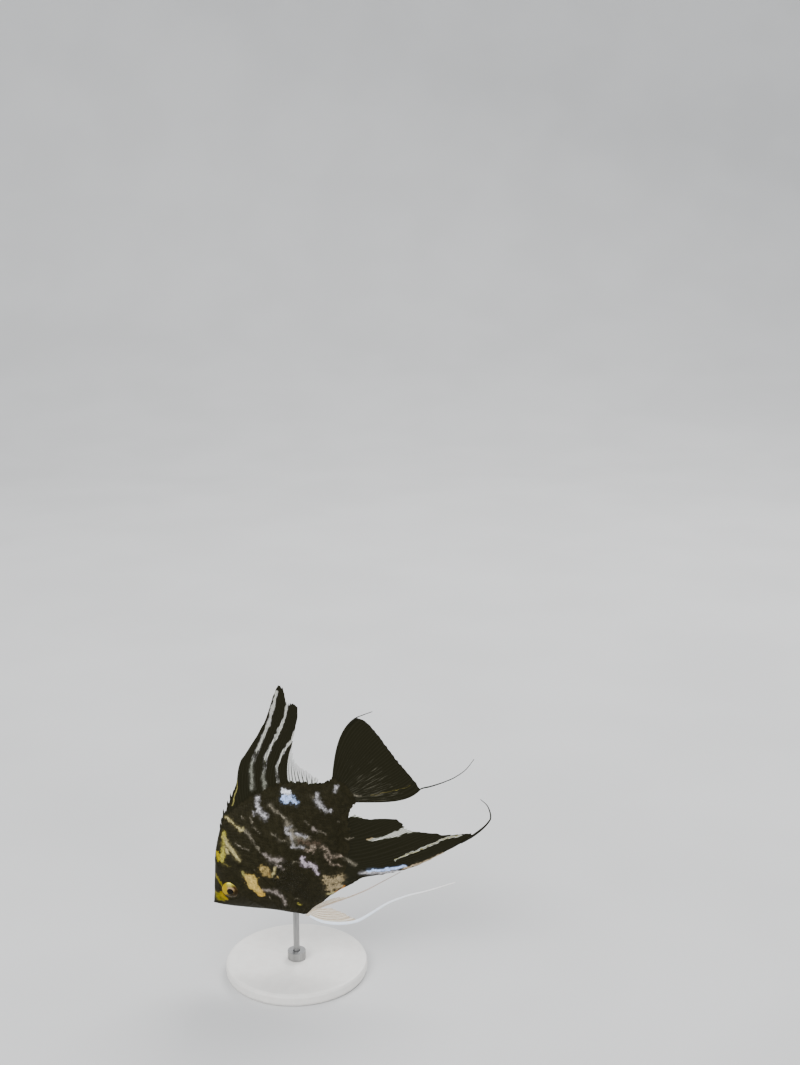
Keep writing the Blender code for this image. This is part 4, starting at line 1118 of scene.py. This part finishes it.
# Clear and pale strokes of the fins, as the flank's are given.
DORSAL_CLEAR = [
    ("silver", 12.5, 8.5, [
        (650, 362), (690, 415), (735, 460), (830, 512), (965, 572), (1100, 656), (1150, 692)]),
    ("silver", 11, 8, [
        (692, 296), (730, 352), (772, 396), (850, 455), (968, 500), (1080, 550), (1150, 602), (1185, 660)]),
    ("silver", 9.5, 6.5, [(782, 290), (812, 335), (842, 365), (922, 402), (1010, 424), (1070, 452)])]
DORSAL_PALE = [("moss", 2.6, 4.5, [(640, 480), (600, 442), (565, 408), (515, 376), (490, 362)])]
ANAL_CLEAR = [
    ("silver", 6, 8, [(948, -512), (1046, -540), (1160, -582), (1257, -612), (1333, -656)]),
    ("silver", 5, 18, [(918, -318), (985, -364), (1070, -402)]),
    ("silver", 18, 36, [(1070, -402), (1130, -424), (1175, -446)]),
    ("silver", 6, 11, [(930, -112), (957, -150), (1000, -200), (1060, -240)])]
ANAL_PALE = [
    ("silver", 13, 12, [(752, -444), (790, -476), (845, -526), (915, -572)]),
    ("blue", 15, 9, [(790, -462), (845, -506), (915, -552), (975, -584)]),
    ("blush", 8, 10, [(945, -582), (1070, -636), (1150, -664)]),
    ("blush", 9, 5, [(1150, -664), (1200, -680), (1252, -692)]),
    ("moss", 2.8, 3, [(948, -506), (1100, -564), (1247, -608), (1330, -650)]),
    ("beige", 6, 4, [(917, -312), (948, -329)])]
TAIL_PALE = [("olive", 2.4, 1.8, [(1110, -122), (1170, -155), (1240, -192), (1320, -230)]),
             ("grey", 9, 4, [(1045, -55), (1080, -94)])]
# Threads beyond the fins' corners: points (s, y, t), and a radius in millimetres that their own follow.
STREAMERS = {
    "anal_streamer": ([
        (1.30, 0.0, -0.692), (1.384, 0.0, -0.702), (1.455, 0.004, -0.706), (1.514, 0.010, -0.698),
        (1.545, 0.016, -0.665), (1.560, 0.020, -0.615), (1.556, 0.022, -0.570)], 0.74),
    "tail_streamer_low": ([
        (1.28, 0.0, -0.275), (1.352, 0.0, -0.286), (1.404, 0.003, -0.314), (1.482, 0.009, -0.349),
        (1.542, 0.015, -0.369), (1.610, 0.022, -0.378), (1.689, 0.030, -0.365)], 0.42),
    "tail_streamer_top": ([
        (1.30, 0.0, 0.274), (1.368, 0.0, 0.277), (1.410, 0.003, 0.263), (1.462, 0.007, 0.241)], 0.38)}
SPINE_TIPS = thousandths((359, 323), (387, 342), (430, 372), (484, 394), (528, 416))
SPINE_STEPS = thousandths((-18, -24), (-8.1, -9.6), (0, 0), (6, 5))  # a spine's points from its place there
SPINE_RADII = [(0, 0.55), (0.6, 0.36), (1, 0.07)]
# The dorsal fin's rear rays, counted in guide rays, are dark hairs in a clear film over this reach.
HAIRS_FROM, HAIRS_ABOVE = (14.6, 15.6), (0.10, 0.30)


def heading(degrees):
    """Unit vector in the side view at an angle over the body's axis."""
    angle = np.radians(degrees)
    return np.stack([np.cos(angle), np.sin(angle)], -1)


def bent_rays(root, tip, root_angle, tip_angle, v, root_stiffness=0.34, tip_stiffness=0.28):
    """Cubic curves from each root to its tip, leaving and arriving at the given angles. v holds each
    column's own places along its ray."""
    chord = np.linalg.norm(tip - root, axis=-1)[:, None]
    first = root + root_stiffness * chord * heading(root_angle)
    last = tip - tip_stiffness * chord * heading(tip_angle)
    a, b, c, d = (p[:, None, :] for p in (root, first, last, tip))
    v = v[..., None]
    return (1 - v) ** 3 * a + 3 * (1 - v) ** 2 * v * b + 3 * (1 - v) * v * v * c + v ** 3 * d


def off_ray(ray):
    """0 on each ray and 1 half way between two: 1/2 - cos(2 pi ray) / 2."""
    return 0.5 - 0.5 * np.cos(TURN * ray)


def ray_ridge(ray):
    """The rounded ridge of each ray: cos(2 pi ray) where it is over 0, to the power 1.5."""
    return np.clip(np.cos(TURN * ray), 0, 1)[:, None] ** 1.5


def ray_places(root, tip, ray, rows, frayed, seed):
    """Places along each ray: from a fixed depth inside the body to its tip, the film drawn in a little
    between rays and the tips uneven."""
    chord = np.linalg.norm(tip - root, axis=-1)
    start = -np.clip(FIN_SUNK / chord, 0, 0.45)
    uneven = np.abs(ripple(ray[:, None], 2.3, seed))
    end = 1 - frayed * (0.55 * off_ray(ray) + uneven) / chord
    return start[:, None] + (end - start)[:, None] * np.linspace(0, 1, rows)[None, :]


RIM_HALF = 0.12              # half a fin's thickness at its rim, in millimetres
THINS, WAVE_GROWS = 2.6, 1.5     # powers of the way in from the rim, and of the way out from the root
WAVE_SIZE = 0.55


def build_fin(name, node_name, grid, ray, v, masks, wave=0.012, root_half=0.62, ridge=0.11, fork=0.62):
    """A fin on the mid plane as a closed sheet: thick at the roots, thin at the rim, a ridge on each
    ray, waving gently to the sides further out."""
    s, t = grid[..., 0], grid[..., 1]
    y = wave * np.clip(v, 0, 1) ** WAVE_GROWS * ripple(grid, WAVE_SIZE, 60)
    near = np.clip(1 - v, 0, 1)
    ridges = ridge * ray_ridge(ray) * (0.25 + 0.75 * near)
    half = MM * (RIM_HALF + (root_half - RIM_HALF) * near ** THINS + ridges)
    floats = {"ray": ray[:, None] + 0 * s, "reach": v, "fork": fork + 0 * s, **masks["floats"]}
    fin = sheet(name, turned(np.stack([s, y, t], -1)), half, FIN_FINISH, floats, {"tint": masks["tint"]})
    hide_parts(node_name)


MASK_WANDERS = (0.0040, 0.0026)
STRIPE_DIMMED = np.array([0.55, 0.52, 0.62, 0.0])    # what the dimly pale stripes lose of their tint


def fin_masks(grid, clear_strokes, pale_strokes, streaky, extra_clear=-1.0, hair=0.0, meshed=None):
    """Which parts of a fin are clear, pale or streaked. Clear stripes have pale edges, and ahead of
    the station meshed they are dimly pale right across. The body's own marks run on over a fin's base."""
    s, t = grid[..., 0], grid[..., 1]
    there_s = s + MASK_WANDERS[0] * ripple(grid, 0.085, 70)
    there_t = t + MASK_WANDERS[1] * ripple(grid, 0.040, 71)
    clear = brushed(clear_strokes, there_s, there_t)[0] if clear_strokes else np.full(s.shape, -1.0)
    pale, tint = brushed(STROKES + pale_strokes, there_s, there_t)
    if meshed is not None:
        low = rise_between(meshed + 0.06, meshed - 0.05, s)
        edges = 0.35 - 2.2 * np.abs(clear - 0.12) + 0.40 * ripple(grid, 0.030, 72)
        silver = np.maximum(edges, clear + 0.15 - 1.8 * (1 - low))
        stripe = np.array(TINTS["silver"]) * (1 - low[..., None] * STRIPE_DIMMED)
        clear = clear - 2.5 * low
        tint = np.where((silver > pale)[..., None], stripe, tint)
        pale = np.maximum(pale, silver)
    floats = {"clear": np.maximum(clear, extra_clear), "pale": pale, "streaky": streaky + 0 * s,
              "hair": hair + 0 * s, "holes": tint[..., 3]}
    return {"floats": floats, "tint": tint[..., :3]}


def long_fin(guides, margin, outward, seed):
    """Side view of a fin along the back or the belly: its guide rays blended front to rear."""
    table = np.array(guides, float)
    order = np.arange(len(table))
    place = np.linspace(0, len(table) - 1, (len(table) - 1) * COLUMNS_PER_GUIDE + 1)
    columns = [through(np.c_[order, column], place) for column in table.T]
    root_s, root_angle, tip_s, tip_t, tip_angle = columns
    root = np.stack([root_s, through(margin, root_s) + outward * ROOT_OUT], -1)
    tip = np.stack([tip_s, tip_t], -1)
    ray = place * RAYS_PER_GUIDE
    v = ray_places(root, tip, ray, 84, 0.012, seed)
    return bent_rays(root, tip, root_angle, tip_angle, v), place, ray, v


def build_dorsal():
    """The dorsal fin: two clear stripes, a third at the rear, and hair-like rays behind them."""
    grid, place, ray, v = long_fin(DORSAL_RAYS, BACK, 1, 61)
    rear = rise_between(*HAIRS_FROM, place)[:, None] * rise_between(*HAIRS_ABOVE, v)
    streaky = 0.25 * rise_between(0.3, 0.6, v)
    masks = fin_masks(grid, DORSAL_CLEAR, DORSAL_PALE, streaky, rear * 2 - 1, rear, meshed=0.79)
    build_fin("dorsal_film", "dorsal_fin", grid, ray, v, masks)


def build_anal():
    """The anal fin, swept back to its long corner."""
    grid, _, ray, v = long_fin(ANAL_RAYS, BELLY, -1, 62)
    masks = fin_masks(grid, ANAL_CLEAR, ANAL_PALE, 0.35)
    build_fin("anal_film", "anal_fin", grid, ray, v, masks)


def build_tail():
    """The tail fin: a fan from the end of the tail stalk to a nearly straight edge, its rays forking."""
    table = np.array(TAIL_EDGE, float)
    u = np.linspace(-1, 1, 337)
    tip = np.stack([through(table[:, [0, 1]], u), through(table[:, [0, 2]], u)], -1)
    root = np.stack([np.full(len(u), TAIL_BASE), TAIL_ROOT_HEIGHT + TAIL_ROOT * u], -1)
    ray = (u + 1) / 2 * TAIL_RAYS
    v = ray_places(root, tip, ray, 70, 0.0030, 63)
    grid = bent_rays(root, tip, TAIL_FAN * u, -TAIL_TURN * u * abs(u), v, TAIL_STIFFNESS, TAIL_STIFFNESS)
    low_half = rise_between(0.60, -0.30, u)[:, None]
    masks = fin_masks(grid, [], TAIL_PALE, (0.45 + 0.60 * low_half) * rise_between(1.05, 0.55, v))
    build_fin("tail_film", "caudal_fin", grid, ray, v, masks, 0.010, 0.75, 0.12, 0.34)


def build_streamers():
    """Threads beyond the fins' corners, and the free tips of the foremost back spines."""
    for name, (route, radius) in STREAMERS.items():
        radii = [(0, 0.3 * radius), (0.25, 0.86 * radius), (0.5, 0.62 * radius), (1, 0.15)]
        made = thread(name, route, radii, THREAD_DARK)
    for number, (s, t) in enumerate(SPINE_TIPS):
        route = [(s + back, 0.0, t + up) for back, up in SPINE_STEPS]
        made = thread(f"back_spine_{number + 1}", route, SPINE_RADII, THREAD_DARK, spans=24)


# ---------------- paired fins
LEFT_BELLY_RAY = thousandths((352, -20, -436), (386, -45, -493), (435, -60, -545), (494, -75, -587),
                             (574, -90, -622), (647, -100, -631), (751, -110, -640), (873, -115, -676),
                             (981, -115, -730), (1144, -100, -811))
RIGHT_BELLY_RAY = thousandths((362, 18, -432), (400, 32, -452), (448, 42, -474), (539, 52, -515),
                              (620, 60, -548), (699, 66, -574), (776, 70, -592), (900, 70, -618))
LEFT_RAY_RADII = [(0, 0.62), (0.22, 0.80), (0.50, 0.58), (0.75, 0.38), (1, 0.18)]
RIGHT_RAY_RADII = [(0, 0.42), (0.5, 0.32), (1, 0.15)]
BELLY_FIN_ROOT, WEB_RAYS = 0.050, 6
LEFT_WEB_TIPS = thousandths((560, -80, -600), (530, -62, -545), (490, -40, -480))
RIGHT_WEB_TIPS = thousandths((560, 52, -515), (540, 46, -490), (500, 36, -462))
WEB_TIP_ON_RAY = 4
PECTORAL_ROOT, PECTORAL_ROOT_HALF = (0.372, -0.125), 0.026
PECTORAL_LENGTH, PECTORAL_BOW, PECTORAL_RAYS = 0.235, 0.15, 11
PECTORAL_OFF = 0.0094        # how far off the flank the fin's root stands
PECTORAL_DROOP, PECTORAL_FAN, PECTORAL_OUT = (math.radians(angle) for angle in (-14.0, 40.0, 26.0))
PECTORAL_ROUNDING, PECTORAL_CREST = 0.15, 0.25


def clear_fin(name, points, half, finish_used, ray, reach, fork):
    """A clear, unmarked fin as a closed sheet, with what its film's finish reads."""
    none = np.zeros(reach.shape)
    floats = {"ray": ray[:, None] + none, "reach": reach, "fork": fork + none, "clear": none + 1,
              "pale": none - 1, "streaky": none, "hair": none, "holes": none}
    tint = np.broadcast_to(np.array(TINTS["silver"][:3]), points.shape)
    return sheet(name, turned(points), MM * half, finish_used, floats, {"tint": tint})


def build_belly_fin(word, lead, web_tips, side, radii, lead_finish):
    """A belly fin: a web of rays from a short root beside the keel, straight but for a share of the
    first ray's bow, and that ray as a long pale thread."""
    u = np.linspace(0, 1, 71)
    v = np.linspace(-0.10, 1, 60)
    start, end = np.array(lead[0], float), np.array(lead[WEB_TIP_ON_RAY], float)
    root = start + BELLY_FIN_ROOT * u[:, None] * np.array([1.0, -0.1 * side, 0.25])
    tip = along([lead[WEB_TIP_ON_RAY], *web_tips], u)
    ray = u * WEB_RAYS
    frayed = 0.05 * (off_ray(ray) + np.abs(ripple(ray[:, None], 1.7, 80)))
    reach = v * (1 - frayed[:, None] * (v > 0))
    straight = root[:, None, :] * (1 - reach[..., None]) + tip[:, None, :] * reach[..., None]
    first = reach[0][:, None]
    bow = along(lead[:WEB_TIP_ON_RAY + 1], np.clip(reach[0], 0, 1)) - (start * (1 - first) + end * first)
    bow *= first > 0
    points = straight + bow[None] * (1 - u)[:, None, None]
    points[..., 1] += 0.004 * ripple(points[..., ::2], 0.20, 81) * np.clip(reach, 0, 1)
    half = 0.10 + 0.28 * np.clip(1 - reach, 0, 1) ** 2 + 0.07 * ray_ridge(ray)
    web = clear_fin("belly_web_" + word, points, half, WEB_FINISH, ray, reach, 0.55)
    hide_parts("pelvic_fin_" + word)
    first_ray = thread("belly_ray_" + word, lead, radii, lead_finish, sides=14, spans=140)


def build_pectoral_fin(word, side):
    """A pectoral fin: a fan of rays from an upright root on the flank, spread back and outwards."""
    u = np.linspace(1, -1, 121)
    ray = (1 - u) / 2 * PECTORAL_RAYS
    v = np.linspace(-0.05, 1, 60) * (1 - 0.030 * off_ray(ray))[:, None]
    root_t = PECTORAL_ROOT[1] + PECTORAL_ROOT_HALF * u
    start = (half_width(PECTORAL_ROOT[0], root_t) + PECTORAL_OFF)[:, None]
    angle = (PECTORAL_DROOP + PECTORAL_FAN * u)[:, None]
    reach = PECTORAL_LENGTH * (1 - PECTORAL_ROUNDING * (u - PECTORAL_CREST) ** 2)[:, None] * v
    back = PECTORAL_ROOT[0] + reach * np.cos(angle) * math.cos(PECTORAL_OUT)
    out = start + reach * math.sin(PECTORAL_OUT) * (1 + PECTORAL_BOW * np.sin(np.pi * v))
    out = out - PECTORAL_OFF * rise_between(0.06, -0.05, v) * 1.6
    height = root_t[:, None] + reach * np.sin(angle)
    points = np.stack([back, side * out, height], -1)
    points[..., 1] += 0.003 * ripple(points[..., ::2], 0.12, 82) * np.clip(v, 0, 1)
    half = 0.08 + 0.26 * np.clip(1 - v, 0, 1) ** 3 + 0.06 * ray_ridge(ray)
    fan = clear_fin("pectoral_film_" + word, points, half, PECTORAL_FINISH, ray, v, 0.50)
    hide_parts("pectoral_fin_" + word)


# ---------------- eyes
PUPIL_AT, PUPIL = (0.0004, -0.0005), 0.0192      # its middle from the eye's, and its radius
LENS_FULLER, LENS_WIDTH = 0.05, 0.026
EYE_RINGS_OF_POINTS, EYE_AROUND = 72, 120
# The ways across the iris that its colours follow, with its painted highlight above and its painted shade
# under: shares of ahead and up.
IRIS_WAYS = {"ahead": (-0.94, 0.34), "above": (0.67, 0.74), "behind": (0.74, -0.67), "under": (-0.20, -0.98)}


def build_eye(word, side):
    """An eye: a ball flattened sideways with a slightly fuller lens, x = R sin(a) cos(b),
    z = R sin(a) sin(b), y = D cos(a), turned with the cheek."""
    a = np.linspace(0.012, np.pi - 0.012, EYE_RINGS_OF_POINTS)[:, None]
    b = np.arange(EYE_AROUND) * TURN / EYE_AROUND
    radius = EYE_OPEN * EYE_RADIUS
    ahead, up = radius * np.sin(a) * np.cos(b), radius * np.sin(a) * np.sin(b)
    spot = np.hypot(ahead - PUPIL_AT[0], up - PUPIL_AT[1])
    out = EYE_DEPTH * np.cos(a) * (1 + LENS_FULLER * bump(np.hypot(ahead, up), LENS_WIDTH))
    turned_s = ahead * math.cos(EYE_TURN) - out * math.sin(EYE_TURN)
    turned_y = ahead * math.sin(EYE_TURN) + out * math.cos(EYE_TURN)
    points = np.stack([EYE[0] + turned_s, side * (EYE_SIDE + turned_y), EYE[1] + up], -1)
    floats = {"pupil": spot / PUPIL, "rim": np.hypot(ahead, up) / IRIS}
    for way, (share_ahead, share_up) in IRIS_WAYS.items():
        floats[way] = (share_ahead * ahead + share_up * up) / IRIS
    floats["spoke"] = 30 * np.sin(b) * np.cos(b) + 22 * np.sin(b) + 0 * a
    quads, caps = tube_quads(EYE_RINGS_OF_POINTS, EYE_AROUND)
    ball = piece("eye_ball_" + word, turned(points), quads, EYE_FINISH, caps, floats)
    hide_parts("eye_" + word)


# ---------------- stand and stage
CAMERA_FROM_SNOUT, CAMERA_DOWN = np.array([0.09149, -0.66324, 0.35222]), 14.0
LENS, FILM_WIDTH = 50.0, 36.0
# The floor's side view in metres, (y, z), from the front to the top of the backdrop.
BACKDROP = [(-2.5, 0.0), (0.0, 0.0), (1.2, 0.0), (1.75, 0.12), (2.1, 0.6), (2.2, 1.4), (2.2, 2.6)]
BACKDROP_HALF_WIDTH, BACKDROP_COLUMNS, BACKDROP_ROWS = 3.5, 12, 90
# Soft lights: place in metres, size in metres, power in watts.
LIGHTS = {"key_light": ((-0.9, -1.1, 1.5), (1.3, 1.0), 42),
          "fill_light": ((1.3, -1.2, 0.7), (1.0, 1.0), 13),
          "rim_light": ((0.5, 1.0, 1.3), (1.0, 0.6), 22)}
SKY, SKY_STRENGTH = (0.92, 0.95, 1.0), 0.88


def dress_stand():
    """Paint on the base, brushed steel on the collar and the rod."""
    for name, made in (("stand_base", stand_paint()), ("stand_collar", STEEL), ("stand_rod", STEEL)):
        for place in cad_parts[name].material_slots:
            place.material = made


def build_floor():
    """A pale floor that curves up into a backdrop: a profile of (y, z) carried along x."""
    profile = along(BACKDROP, np.linspace(0, 1, BACKDROP_ROWS))
    x = np.linspace(-BACKDROP_HALF_WIDTH, BACKDROP_HALF_WIDTH, BACKDROP_COLUMNS)[:, None]
    points = np.stack([x + 0 * profile[:, 0], profile[:, 0] + 0 * x, profile[:, 1] + 0 * x], -1)
    quads = grid_quads(BACKDROP_COLUMNS, BACKDROP_ROWS)
    backdrop = placed("backdrop", mesh_of("backdrop", points, quads.tolist(), studio_floor()))


def softbox(name, place, target, size, power):
    """A rectangular soft light that faces the target."""
    light = bpy.data.lights.new(name, "AREA")
    light.shape = "RECTANGLE"
    light.size, light.size_y = size
    light.energy = power
    thing = placed(name, light)
    thing.location = place
    thing.rotation_euler = Vector(np.subtract(target, place)).to_track_quat("-Z", "Y").to_euler()


def build_studio():
    """Camera and lights: the camera looks level across and a little down past the fish, which stands
    low and left in its view. A large soft light hangs over the left, a weaker one on the right and one
    behind, and the sky is pale."""
    camera = placed("camera", bpy.data.cameras.new("camera"))
    camera.data.lens, camera.data.sensor_width = LENS, FILM_WIDTH
    camera.data.clip_start = 10 * MM
    camera.location = (SNOUT + CAMERA_FROM_SNOUT).tolist()
    camera.rotation_euler = (math.radians(90 - CAMERA_DOWN), 0.0, 0.0)
    bpy.context.scene.camera = camera
    middle = (np.array(cad_low) + np.array(cad_high)) / 2
    for name, (place, size, power) in LIGHTS.items():
        softbox(name, place, middle, size, power)
    world = bpy.data.worlds.new("studio")
    world.use_nodes = True
    feed(world.node_tree.nodes["Background"], {"Color": SKY, "Strength": SKY_STRENGTH})
    bpy.context.scene.world = world


# ---------------- the model
build_studio()
build_floor()
NO_GROUND = (0.3, 0.3, 0.3)  # a clear fin's ground, which no part of it shows
SCALE_FINISH = coat_finish("scales_marbled", True)
FIN_FINISH = film_finish("fin_black", (0.0084, 0.0078, 0.0020), (0.090, 0.100, 0.045), 0.46, 0.85, 0.24)
WEB_FINISH = film_finish("fin_milky", NO_GROUND, (0.60, 0.44, 0.24), 0.40, 0.80, 0.5, 0.36)
PECTORAL_FINISH = film_finish("fin_glassy", NO_GROUND, (0.006, 0.006, 0.005), 0.05, 0.15, 0.5, 0.40,
                              (0.013, 0.012, 0.009))
THREAD_DARK = thread_finish("thread_dark", (0.0084, 0.0078, 0.0030), (0.014, 0.013, 0.008), 0.10)
THREAD_WHITE = thread_finish("thread_white", (0.80, 0.89, 1.0), (0.86, 0.83, 0.80))
THREAD_ROSY = thread_finish("thread_rosy", (0.58, 0.47, 0.38), (0.50, 0.40, 0.34))
EYE_FINISH = eye_finish()
STEEL = brushed_steel()

build_skin()
coat_body()
coat_fin_bases()
build_dorsal()
build_anal()
build_tail()
build_streamers()
build_belly_fin("left", LEFT_BELLY_RAY, LEFT_WEB_TIPS, -1, LEFT_RAY_RADII, THREAD_WHITE)
build_belly_fin("right", RIGHT_BELLY_RAY, RIGHT_WEB_TIPS, 1, RIGHT_RAY_RADII, THREAD_ROSY)
for word, side in (("left", -1), ("right", 1)):
    build_pectoral_fin(word, side)
    build_eye(word, side)
dress_stand()
